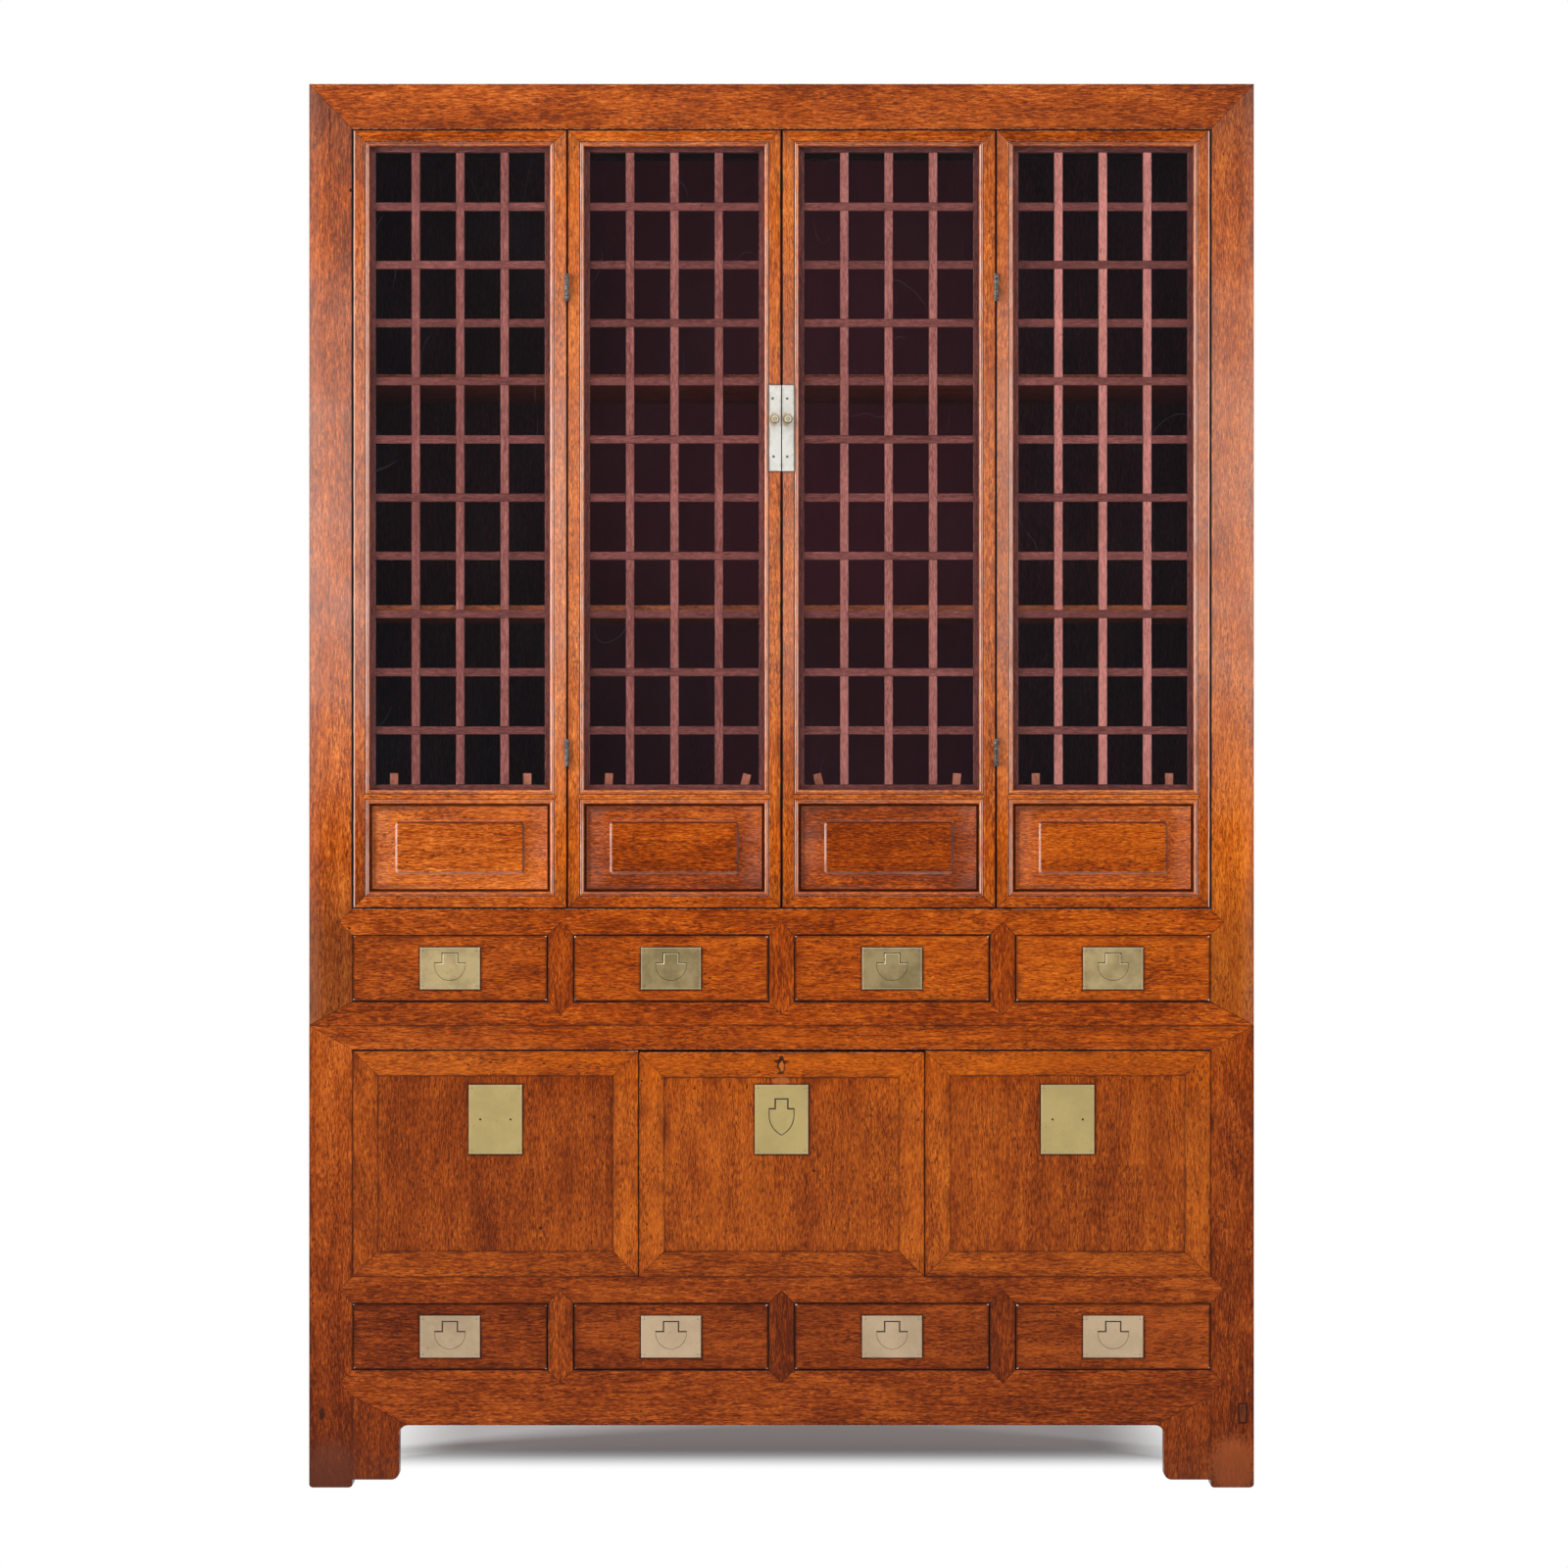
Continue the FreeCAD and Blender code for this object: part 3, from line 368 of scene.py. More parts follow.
def painted_sheen(s):
    """Share of painted sheen, a pale stand-in for the lamps' reflection, on the tall members, by
    height, and a little more of it along the outermost edges."""
    x, _, z = s.xyz()
    share = s.times(s.steps(z, *sheen_rise), s.steps(z, *sheen_fall, 1.0, 0.20))
    cloudy = s.noise(s.place(), (6.0, 6.0, 9.0), detail=4.0, lift=1.3)
    share = s.times(share, s.steps(cloudy, 0.3, 0.7, 0.13, 0.20))
    return s.plus(share, s.steps(s.size(x), *outer_sheen, 0.0, 0.04))


def dark_ends(s):
    """Share of dark on the lowest and highest parts of the tall members of the top case."""
    x, _, z = s.xyz()
    low = s.times(s.near(z, *dark_foot, 0.60), s.steps(x, *dark_aside, 1.0, 0.70))
    return s.larger(low, s.steps(z, *dark_head, 0.0, 0.42))


def leaf_gap_shade_and_highlight(s):
    """Shares of painted shade in the gaps round the leaves and of painted highlight on the
    outermost edges.
    """
    x, y, height = s.xyz()
    aside = s.size(x)
    dark = s.near(s.apart(aside, outer_leaf_edge + 0.001), 0.0008, 0.0020, 0.97)
    for line in leaf_joints:
        dark = s.larger(dark, s.near(s.apart(aside, line), 0.0009, 0.0024, 0.97))
    above = s.steps(height, leaf_low.z - 0.002, leaf_low.z)
    within = s.times(above, s.near(height, leaf_high.z, leaf_high.z + 0.002))
    ends = [s.apart(height, z) for z in (leaf_low.z, leaf_high.z)]
    level = s.near(s.smaller(*ends), 0.0008, 0.0022, 0.95)
    level = s.times(level, s.near(aside, outer_leaf_edge, outer_leaf_edge + 0.002))
    dark = s.larger(s.times(dark, within), level)
    pale = s.times(s.near(s.apart(aside, outer_leaf_edge - 0.0016), 0.0008, 0.0016), within)
    front = front_share(s, y)
    return s.times(dark, front), s.times(pale, front)


def spot(s, centre_x, centre_z, half_x, half_z, depth):
    """Share, up to depth, of a ragged oval spot on the front, placed in metres."""
    ragged = s.noise(s.place(), (260.0, 0.0, 160.0), detail=3.0)
    x, y, z = s.xyz()
    right = s.times(s.minus(x, centre_x), 1 / half_x)
    up = s.times(s.minus(z, centre_z), 1 / half_z)
    away = s.math("SQRT", s.plus(s.times(right, right), s.times(up, up)))
    return s.times(s.near(s.plus(away, ragged), 1.1, 1.6, depth), front_share(s, y))


def plug(s, centre_x, centre_z, half_x, half_z):
    """Shares of a block let into the front and of the dark line round it."""
    x, y, z = s.xyz()
    over = s.larger(s.minus(s.apart(x, centre_x), half_x), s.minus(s.apart(z, centre_z), half_z))
    front = front_share(s, y)
    block = s.times(s.near(over, -0.001, 0.0), front)
    line = s.times(s.near(s.size(over), 0.0006, 0.0018, 0.85), front)
    return block, line


def crack(s, centre_x, low, high, wander=0.011):
    """Share of an upright crack on the front that starts at high and fades out at low."""
    aside = s.noise(s.place(), (0.0, 0.0, 17.0), detail=4.0, roughness=0.6)
    x, y, z = s.xyz()
    away = s.apart(s.plus(x, s.times(aside, wander)), centre_x + wander / 2)
    depth = s.times(s.steps(z, low, high), s.near(z, high, high + 0.004))
    return s.times(s.times(s.near(away, 0.0002, 0.0013, 0.7), depth), front_share(s, y))


# Materials


def wood_grain(s, grain, figure, contrast):
    """How light the wood is, with its streaks, fibres, mottle, pores and pits."""

    def noise(along, across, detail, **more):
        return s.noise(grain, (along, across, across), detail=detail, **more)

    slow = noise(2.0, 11.0, 3.0)
    _, aside, deeper = s.xyz(grain)
    radius = s.length(s.node("CombineXYZ", {1: aside, 2: deeper}).outputs[0])
    rings = s.math("FRACT", s.times(s.times_plus(slow, 0.05, radius), 1 / ring_width))
    late = s.times(s.steps(rings, 0.62, 0.95), s.near(rings, 0.95, 1.0))
    streaks = noise(24.0, 230.0, 5.0, roughness=0.68)
    fibres = noise(90.0, 600.0, 3.0, roughness=0.65, lift=3.7)
    mottle = noise(11.0, 30.0, 3.0, lift=9.1)
    clusters = s.steps(noise(7.0, 60.0, 2.0, lift=1.9), 0.35, 0.65, 0.25, 1.0)
    fine = s.steps(noise(150.0, 640.0, 1.0, lift=5.3), 0.53, 0.65)
    coarse = s.steps(noise(70.0, 330.0, 1.0, lift=8.2), 0.60, 0.70)
    pores = s.times(s.larger(fine, coarse), clusters)
    pits = s.steps(noise(130.0, 380.0, 0.0, lift=11.3), 0.77, 0.80)
    pits = s.times(pits, s.steps(mottle, 0.45, 0.55))

    value = s.times(streaks, 0.36)
    for part, share in ((mottle, 0.46), (fibres, 1.22), (slow, 0.38)):
        value = s.plus(value, s.times(part, share))
    value = s.times(s.minus(value, 1.17), contrast)
    value = s.plus(value, s.times(s.attribute("tone", "Fac"), tone_step))
    lines = s.times(late, s.steps(mottle, 0.35, 0.6, 0.15, 1.0))
    value = s.plus(s.minus(value, s.times(lines, 0.18 * figure)), 0.41)
    return value, streaks, fibres, mottle, pores, pits


def grime_and_shade(s, side, patchy, grime, rim_shade):
    """Share of grime along a member's sides, of a dark line round the plate that it carries, and of
    painted shade in the gap round a drawer's front.
    """
    soiled = s.times(s.near(side, 0.0, 0.003), s.steps(patchy, 0.3, 0.7, 0.2, 0.7))
    soiled = s.times(soiled, s.times(facing_front(s), grime))
    rim = plate_distance(s)
    darkened = s.times(s.near(rim, 0.0006, 0.005), s.steps(patchy, 0.3, 0.6, 0.25, 0.8))
    darkened = s.larger(darkened, s.near(rim, 0.0008, 0.0017, 0.97))
    darkened = s.larger(soiled, darkened)
    if rim_shade:
        # Painted shade of the gap round a drawer's front, along its rim
        darkened = s.larger(darkened, s.near(side, 0.0009, 0.0030, rim_shade))
    return darkened


def wood(name, deep, middle, light, seam=seam_brown, figure=1.0, open_pores=1.0, polish=0.28,
         coat=0.03, wear=0.5, contrast=1.95, grime=1.0, specks=0.0, rim_shade=0.0,
         dark_inside=0.0, soil=0.0, outlined=False, flaws=(), cracks=(), plugs=(), inside=()):
    """Wood with rings round a pith beside each member, streaks and pores along it,
    darker edges, near-black joint lines, painted shade in the gaps, a dark line round plates,
    and arrises rubbed pale that also carry a painted highlight; beads, raised panels and tall
    members carry painted highlight and painted sheen. Each flaw stains a spot of the front,
    dark_inside darkens what the doors close in, and inside gives the three colours of
    surfaces inside the cases."""
    s = Nodes(bpy.data.materials.new(name))
    deep, middle, light = rgb(*deep), rgb(*middle), rgb(*light)
    grain = s.attribute("grain")
    edge = s.attribute("edge", "Fac")
    value, streaks, fibres, mottle, pores, pits = wood_grain(s, grain, figure, contrast)
    lightest = rgb(*(b + 0.85 * (b - a) for a, b in zip(middle[:3], light[:3])))
    stops = ((0.0375, deep), (0.375, middle), (0.7125, light), (1.0, lightest))
    s.colour = s.ramp(s.times(value, 0.75), *stops)
    s.paint(s.times(pores, 0.72 * open_pores), s.mix(0.4, deep, seam))
    s.paint(s.times(pits, 0.85 * open_pores), seam)
    s.paint(rich_share(s), rgb(1.0, 0.90, 0.45), blend="MULTIPLY")

    side, corner = edge_distances(s)
    patchy = s.noise(grain, (20.0, 40.0, 40.0), detail=3.0, lift=7.7)
    smudge = s.times(s.near(side, 0.0, 0.016), s.steps(patchy, 0.45, 0.68))
    s.paint(s.times(smudge, 0.6 * grime), deep)
    # Painted shade, painted highlight and painted sheen that the members carry
    painted_shade, painted_highlight, sheen_share = s.xyz(s.attribute("painted_light"))
    # Grime, the dark line round a plate and painted shade in gaps, quirks and hollows, laid on
    # together
    darkened = s.larger(grime_and_shade(s, side, patchy, grime, rim_shade), painted_shade)
    s.paint(darkened, s.mix(0.6, deep, seam))
    ends = s.times(s.steps(sheen_share, *dark_end_sheen), dark_ends(s))
    s.paint(ends, s.mix(0.8, deep, seam))
    # Painted sheen: pale colour standing in for the lamps' reflection on the tall members
    s.paint(s.times(sheen_share, painted_sheen(s)), rgb(0.95, 0.74, 0.66))
    # Painted highlight on the rounds of the beads and on the lit edges of the raised tables
    painted_highlight = s.times(painted_highlight, s.steps(patchy, 0.35, 0.6, 0.45, 1.0))
    s.paint(s.times(painted_highlight, 0.8), rgb(0.82, 0.58, 0.49))
    # Dark joint lines, and painted shade on bevels that face across a gap
    joint = s.times(edge, s.steps(patchy, 0.35, 0.65, 0.75, 1.25), clamp=True)
    # Painted shade in the gaps round the leaves and painted highlight on their outermost edges
    if outlined:
        dark, pale = leaf_gap_shade_and_highlight(s)
        s.paint(s.times(pale, 0.85), rgb(0.80, 0.49, 0.38))
        joint = s.larger(joint, dark)
    s.paint(joint, seam)

    chips = s.noise(grain, (260.0, 420.0, 420.0), detail=2.0, lift=4.9)
    # Free arrises rubbed pale, which also paints their highlight
    wear_and_highlight = s.times(s.times(edge, -1.0, clamp=True), s.steps(chips, 0.4, 0.62))
    s.paint(s.times(wear_and_highlight, wear), s.mix(0.45, light, rgb(0.95, 0.75, 0.62)))
    if specks:
        chipped = s.times(s.near(corner, 0.001, 0.004), s.steps(chips, 0.5, 0.56))
        s.paint(s.times(chipped, specks), rgb(0.80, 0.70, 0.66))
    for *where, stain in flaws:
        s.paint(spot(s, *where), stain)
    for where in plugs:
        block, line = plug(s, *where)
        s.paint(s.times(block, 0.4), rgb(0.10, 0.034, 0.016))
        s.paint(line, seam)
    for where in cracks:
        s.paint(crack(s, *where), seam)
    if soil:
        low = s.plus(s.xyz()[2], s.times(mottle, 0.05))
        dust = s.mix(0.5, deep, rgb(0.11, 0.045, 0.028))
        s.paint(s.near(low, *soil_height, soil), dust)
    if inside:
        dim = s.ramp(value, *((at, rgb(*c)) for at, c in zip((0.05, 0.5, 0.95), inside)))
        dim = s.mix(s.times(middle_share(s), 0.8), dim, rgb(0.20, 0.039, 0.066))
        s.paint(inside_share(s), dim)
    if dark_inside:
        share = s.times(inside_share(s), dark_inside)
        s.paint(share, rgb(0.03, 0.009, 0.007))

    rough = s.steps(streaks, 0.2, 0.8, polish + 0.06, polish - 0.05)
    rough = s.plus(s.plus(rough, s.times(pores, 0.2)), s.times(joint, 0.3))
    height = s.minus(s.times(fibres, 0.5), s.times(pores, 0.6))
    height = s.plus(height, s.times(streaks, 0.5))
    surface = s.principled({
        "Base Color": s.colour, "Roughness": rough, "Normal": s.bump(height, 0.22, 0.0005),
        "Coat Weight": s.larger(painted_highlight, coat), "Coat Roughness": 0.10, "Specular IOR Level": 0.12,
    })
    return s.finish(surface)


def metal(name, clean, tarnish, line, rough=0.4, metallic=0.5, amount=0.6, scale=17.0,
          edge_gloss=0.7, flaws=(), turned=False, rim=0.0):
    """Aged metal: cloudy tarnish, fine scratches, darker spots, edges rubbed pale that also
    carry a painted highlight, a line of another colour along each gap, stains, and turned
    rings with painted shade on a knob's underside. A plate with a painted highlight round
    its rim also has a pin in each corner."""
    s = Nodes(bpy.data.materials.new(name))
    clean, tarnish, line = rgb(*clean), rgb(*tarnish), rgb(*line)
    place = s.place()
    edge = s.attribute("edge", "Fac")
    clouds = s.noise(place, (scale, scale, scale), detail=5.0, roughness=0.6)
    fine = s.noise(place, (240.0, 700.0, 1300.0), detail=2.0, lift=2.2)
    spots = s.noise(place, (380.0, 380.0, 380.0), detail=1.0, lift=4.4)
    share = s.steps(clouds, 0.35, 0.65, 0.0, amount)
    share = s.plus(share, s.times(s.attribute("tone", "Fac"), 0.22), clamp=True)
    s.colour = s.mix(share, clean, tarnish)
    side, corner = edge_distances(s)
    darkened = s.times(s.near(side, 0.0009, 0.0028), s.steps(clouds, 0.4, 0.6, 0.0, 0.55))
    s.paint(darkened, s.mix(0.5, tarnish, rgb(0.05, 0.035, 0.02)))
    s.paint(s.times(fine, 0.3), tarnish)
    s.paint(s.times(s.steps(spots, 0.73, 0.80), 0.6), speck_brown)
    if rim:
        # Painted highlight round the plate's rim
        rim_highlight = s.times(s.near(side, 0.0008, 0.0019, rim), s.steps(fine, 0.3, 0.6, 0.6, 1.0))
        s.paint(rim_highlight, s.mix(0.6, clean, rgb(0.95, 0.90, 0.78)))
        pins = [s.near(s.apart(d, 0.0050), 0.0004, 0.0012) for d in (side, corner)]
        s.paint(s.times(s.times(*pins), 0.75), speck_brown)
    # Edges rubbed bright, which also paints their highlight
    wear_and_highlight = s.times(edge, -edge_gloss, clamp=True)
    s.paint(wear_and_highlight, s.mix(0.5, clean, rgb(1.0, 0.97, 0.85)))
    # A line along joints and gaps: dark on most metal, and on the pull a painted highlight
    s.paint(s.times(edge, 1.4, clamp=True), line)
    for *where, stain in flaws:
        s.paint(spot(s, *where), stain)
    if turned:
        s.paint(knob_rings_and_shade(s), rgb(0.05, 0.022, 0.008))
    height = s.plus(s.times(fine, 0.4), clouds)
    surface = s.principled({
        "Base Color": s.colour, "Roughness": s.steps(clouds, 0.25, 0.75, rough - 0.07, rough + 0.1),
        "Metallic": metallic, "Normal": s.bump(height, 0.14, 0.0005),
    })
    return s.finish(surface)


def knob_rings_and_shade(s):
    """Share of dark on a turned knob: a ring, the middle and the rim, with painted shade on the
    underside.
    """
    away = s.vector("SUBTRACT", s.attribute("to_low"), s.attribute("to_high"))
    x, _, z = s.xyz(s.vector("MULTIPLY", away, (0.5, 0.0, 0.5)))
    radius = s.length(s.node("CombineXYZ", {0: x, 2: z}).outputs[0])
    ring = s.near(s.apart(radius, 0.0024), 0.0003, 0.0008, 0.85)
    ring = s.larger(ring, s.near(radius, 0.0004, 0.0010, 0.7))
    ring = s.larger(ring, s.steps(radius, 0.0050, 0.0062, 0.0, 0.85))
    # Painted shade on the knob's underside
    return s.larger(ring, s.near(z, -0.0052, -0.0036, 0.9))


def clear_glass():
    """Old clear glass: see-through, with a faint sheen, a little dust and hairlines."""
    s = Nodes(bpy.data.materials.new("clear_glass"))
    place = s.place()
    dust = s.noise(place, (9.0, 9.0, 6.0), detail=4.0)
    waves = s.noise(place, (5.0, 5.0, 3.0), detail=1.0, lift=3.0)
    normal = s.bump(waves, 0.05, 0.002)
    leaning = s.node("LayerWeight", {"Blend": 0.5, "Normal": normal}).outputs["Facing"]
    sheen = s.times_plus(s.math("POWER", leaning, 5.0), 0.9, 0.032)
    share = s.plus(sheen, s.steps(dust, 0.45, 0.8, 0.0, 0.012))
    bends = s.noise(place, (7.0, 0.0, 4.0), detail=1.0, lift=6.2)
    hairs = s.near(s.apart(bends, 0.58), 0.0, 0.0022, 0.13)
    hairs = s.times(hairs, s.steps(s.noise(place, (11.0, 0.0, 11.0), lift=2.6), 0.5, 0.6))
    gloss = s.principled({
        "Base Color": rgb(0.82, 0.85, 1.0), "Roughness": 0.06, "Normal": normal, "Metallic": 1.0,
    })
    through = s.node("BsdfTransparent", {"Color": rgb(0.97, 0.985, 0.98)}).outputs[0]
    both = s.node("MixShader", {0: s.plus(share, hairs), 1: through, 2: gloss}).outputs[0]
    return s.finish(both)


def stains(*rows):
    """Stains from rows of a place in the photograph, half a size in metres, a strength
    and a colour."""
    return [from_photo(px, py) + tuple(row) for px, py, *row in rows]


crack_x, crack_high = from_photo(336.5, 112)
crack_low = from_photo(336.5, 300)[1]
upper_wood = wood(
    "upper_wood", (0.13, 0.018, 0.001), (0.41, 0.072, 0.005), (0.70, 0.18, 0.024),
    grime=0.8, dark_inside=0.93, outlined=True, cracks=((crack_x, crack_low, crack_high),),
    flaws=stains(
        (358, 194, 0.003, 0.003, 0.9, seam_brown),
        (392, 853, 0.004, 0.004, 0.5, seam_brown),
    ),
)
lower_wood = wood(
    "lower_wood", (0.090, 0.012, 0.001), (0.27, 0.043, 0.003), (0.50, 0.108, 0.012),
    figure=1.4, dark_inside=0.93, soil=0.35,
    flaws=stains(
        (328, 1443, 0.005, 0.010, 0.8, seam_brown),
        (1261, 1427, 0.003, 0.005, 0.5, seam_brown),
        (338, 1500, 0.040, 0.050, 0.40, rgb(0.16, 0.048, 0.026)),
        (1258, 1495, 0.040, 0.050, 0.55, rgb(0.48, 0.115, 0.028)),
    ),
    plugs=(from_photo(1268, 1442) + (0.0058, 0.0145),),
)
# Painted highlight along the top arris of the middle panel
arris_highlight = rgb(0.80, 0.55, 0.42)
panel_wood = wood(
    "panel_wood", (0.11, 0.016, 0.001), (0.31, 0.055, 0.005), (0.53, 0.120, 0.010),
    figure=0.7,
    flaws=stains(
        (797, 1103, 0.015, 0.007, 0.4, rgb(0.52, 0.16, 0.045)),
        (720, 1072.4, 0.125, 0.0016, 0.6, arris_highlight),
        (880, 1072.4, 0.100, 0.0014, 0.45, arris_highlight),
        (797, 1083.5, 0.0135, 0.0040, 0.85, seam_brown),
        (797, 1080, 0.0045, 0.0045, 0.85, seam_brown),
        (797, 1088, 0.0065, 0.0115, 0.9, seam_brown),
        (797, 1095, 0.0070, 0.0022, 0.8, seam_brown),
        (797.5, 1088, 0.0040, 0.0085, 0.95, rgb(0.50, 0.14, 0.025)),
    ),
)
drawer_wood = wood(
    "drawer_wood", (0.11, 0.016, 0.001), (0.37, 0.064, 0.005), (0.63, 0.150, 0.016),
    figure=0.8, wear=0.0, specks=0.9, rim_shade=0.8,
)
low_drawer_wood = wood(
    "low_drawer_wood", (0.055, 0.007, 0.001), (0.19, 0.028, 0.002), (0.36, 0.068, 0.007),
    figure=1.3, wear=0.0, specks=0.9, rim_shade=0.8,
)
board_wood = wood(
    "board_wood", (0.10, 0.015, 0.001), (0.31, 0.055, 0.005), (0.53, 0.125, 0.014),
    polish=0.34, wear=0.1, grime=0.7,
    inside=((0.026, 0.006, 0.009), (0.064, 0.014, 0.021), (0.115, 0.028, 0.036)),
)
plain = {"polish": 0.5, "coat": 0.0, "contrast": 1.0}
small = {"figure": 0.3, "open_pores": 0.5, "wear": 0.3, "grime": 0.15}
lattice_wood = wood(
    "lattice_wood", (0.095, 0.027, 0.025), (0.28, 0.085, 0.077), (0.60, 0.22, 0.195),
    rgb(0.018, 0.008, 0.007), **plain, **small,
)
shelf_wood = wood(
    "shelf_wood", (0.16, 0.035, 0.012), (0.40, 0.09, 0.03), (0.60, 0.17, 0.06),
    rgb(0.02, 0.008, 0.005), figure=0.4, grime=0.3, **plain,
)
button_wood = wood(
    "button_wood", (0.32, 0.085, 0.050), (0.65, 0.21, 0.130), (0.85, 0.36, 0.25),
    rgb(0.02, 0.008, 0.005), **plain, **small,
)
green_tones = (0.60, 0.45, 0.22), (0.25, 0.185, 0.078)
green_brass = metal(
    "green_brass", *green_tones, (0.075, 0.050, 0.020), amount=0.75, rim=0.85,
)
# The pale line along the pull's edges is a painted highlight
green_pull_brass = metal(
    "green_pull_brass", *green_tones, (0.85, 0.72, 0.44), amount=0.75,
)
gold_brass = metal(
    "gold_brass", (0.59, 0.45, 0.18), (0.41, 0.31, 0.12), (0.05, 0.03, 0.012), rim=0.6,
)
pale_brass = metal(
    "pale_brass", (0.64, 0.475, 0.30), (0.44, 0.315, 0.195), (0.11, 0.065, 0.035),
    rim=0.35,
)
ochre = rgb(0.42, 0.24, 0.04)
nail_brown = rgb(0.07, 0.045, 0.02)
nails = ((788.5, 406.7), (803.3, 406.7), (789.5, 466), (803.3, 466))
white_metal = metal(
    "white_metal", (0.84, 0.82, 0.77), (0.60, 0.57, 0.50), (0.20, 0.15, 0.08), rough=0.45,
    metallic=0.35, scale=45.0,
    flaws=stains(
        *((x, 428, 0.0085, 0.0115, 0.65, ochre) for x in (789, 803)),
        *((x, y, 0.0022, 0.0024, 0.9, nail_brown) for x, y in nails),
    ),
)
knob_brass = metal(
    "knob_brass", (0.95, 0.86, 0.66), (0.70, 0.52, 0.24), (0.04, 0.03, 0.01), rough=0.25,
    metallic=0.4, amount=0.35, scale=45.0, turned=True,
)
old_iron = metal(
    "old_iron", (0.20, 0.19, 0.18), (0.016, 0.013, 0.012), (0.006, 0.005, 0.004), rough=0.5,
    amount=1.0, scale=330.0, edge_gloss=0.3,
)
window_glass = clear_glass()


# Members: the closed shells of a node


def shells(node):
    """The solids of a CAD node, each as a list of triangles of corner places. The
    triangles of a solid follow one another, and it is whole when no edge is open."""
    mesh = frame["nodes"][node].data
    places = [tuple(round(c, 6) for c in v.co) for v in mesh.vertices]
    found, current, open_edges = [], [], set()
    for polygon in mesh.polygons:
        corners = [places[i] for i in polygon.vertices]
        current.append(corners)
        for a, b in zip(corners, corners[1:] + corners[:1]):
            open_edges ^= {(min(a, b), max(a, b))}
        if not open_edges:
            found.append(current)
            current = []
    return found


class Member:
    """One solid of a node, with flat faces joined and a tree for nearness tests."""

    def __init__(self, node, triangles):
        self.node = node
        self.bm = bmesh.new()
        made = {}
        for corners in triangles:
            for c in corners:
                if c not in made:
                    made[c] = self.bm.verts.new(c)
            if len(set(corners)) == 3:
                self.bm.faces.new([made[c] for c in corners])
        bmesh.ops.dissolve_limit(
            self.bm, angle_limit=math.radians(0.4), verts=self.bm.verts, edges=self.bm.edges
        )
        self.bm.normal_update()
        self.tree = BVHTree.FromBMesh(self.bm)
        places = [v.co for v in self.bm.verts]
        self.low = Vector([min(p[i] for p in places) for i in range(3)])
        self.high = Vector([max(p[i] for p in places) for i in range(3)])
        self.size = self.high - self.low

    def holds(self, place):
        """True if the place is inside the solid."""
        if any(place[i] < self.low[i] or place[i] > self.high[i] for i in range(3)):
            return False
        near, normal, _, _ = self.tree.find_nearest(place)
        return (place - near).dot(normal) < 0


def is_upper(node):
    """True for the nodes of the upper case."""
    return node.startswith(("upper", "fixed", "left_door", "right_door"))


def grain_axis(member):
    """The axis that a member's grain runs along: its longest, but upright in boards."""
    size = member.size
    if size.z >= thin_board and ("lower_panel" in member.node or member.node == "case_boards"):
        side_board = member.node == "case_boards" and min(size.y, size.z) > board_width
        if min(size.x, size.z) > board_width or side_board:
            return 2
    return max(range(3), key=lambda i: size[i])


def edge_kind(member, edge, others):
    """Whether another solid meets this one flush at the edge, stands a narrow gap away,
    or leaves the edge free."""
    middle = (edge.verts[0].co + edge.verts[1].co) / 2
    a, b = (f.normal for f in edge.link_faces)
    to_side = min(*(middle - member.low).xz, *(member.high - middle).xz)
    if member.node.endswith("plate") and to_side < touching_reach:
        return "free"
    for step, kind in ((touching_reach, "joint"), (gap_reach / 2, "gap"), (gap_reach, "gap")):
        for place in (middle + (a - b) * step, middle + (b - a) * step):
            if any(other is not member and other.holds(place) for other in others):
                return kind
    return "free"


def to_segment(place, start, end):
    """Distance from a place to a straight edge."""
    way = end - start
    share = max(0.0, min(1.0, (place - start).dot(way) / way.length_squared))
    return (place - start - way * share).length


def round_feet(member):
    """Rounds the corners of the front of a post's foot."""
    ground = 0.001
    if member.node != "lower_case_frame" or member.low.z > ground:
        return
    corners = []
    for edge in member.bm.edges:
        a, b = (v.co for v in edge.verts)
        if max(a.z, b.z) < ground and abs(a.y - b.y) > 0.9 * edge.calc_length():
            corners.append(edge)
    bmesh.ops.bevel(
        member.bm, geom=corners, offset=foot_corner, offset_type="OFFSET", segments=3, profile=0.5,
        affect="EDGES", clamp_overlap=True,
    )
    member.bm.normal_update()


def bevel_rows(member, others, widths):
    """For each edge of a member: width and kind of its bevel, and its two ends. Edges
    that aren't outward and sharp, or lie too close to a short one, get no width."""
    lengths = {e: e.calc_length() for e in member.bm.edges}
    rows = []
    for edge in member.bm.edges:
        outward = len(edge.link_faces) == 2 and edge.is_convex
        sharp = outward and edge.calc_face_angle(0) > sharp_angle
        kind = edge_kind(member, edge, others) if sharp else "free"
        shortest = min(lengths[near] for v in edge.verts for near in v.link_edges)
        roomy = shortest >= 2.2 * widths[kind]
        width = widths[kind] if sharp and roomy else 0.0
        rows.append((width, kind, edge.verts[0].co.copy(), edge.verts[1].co.copy()))
    return rows


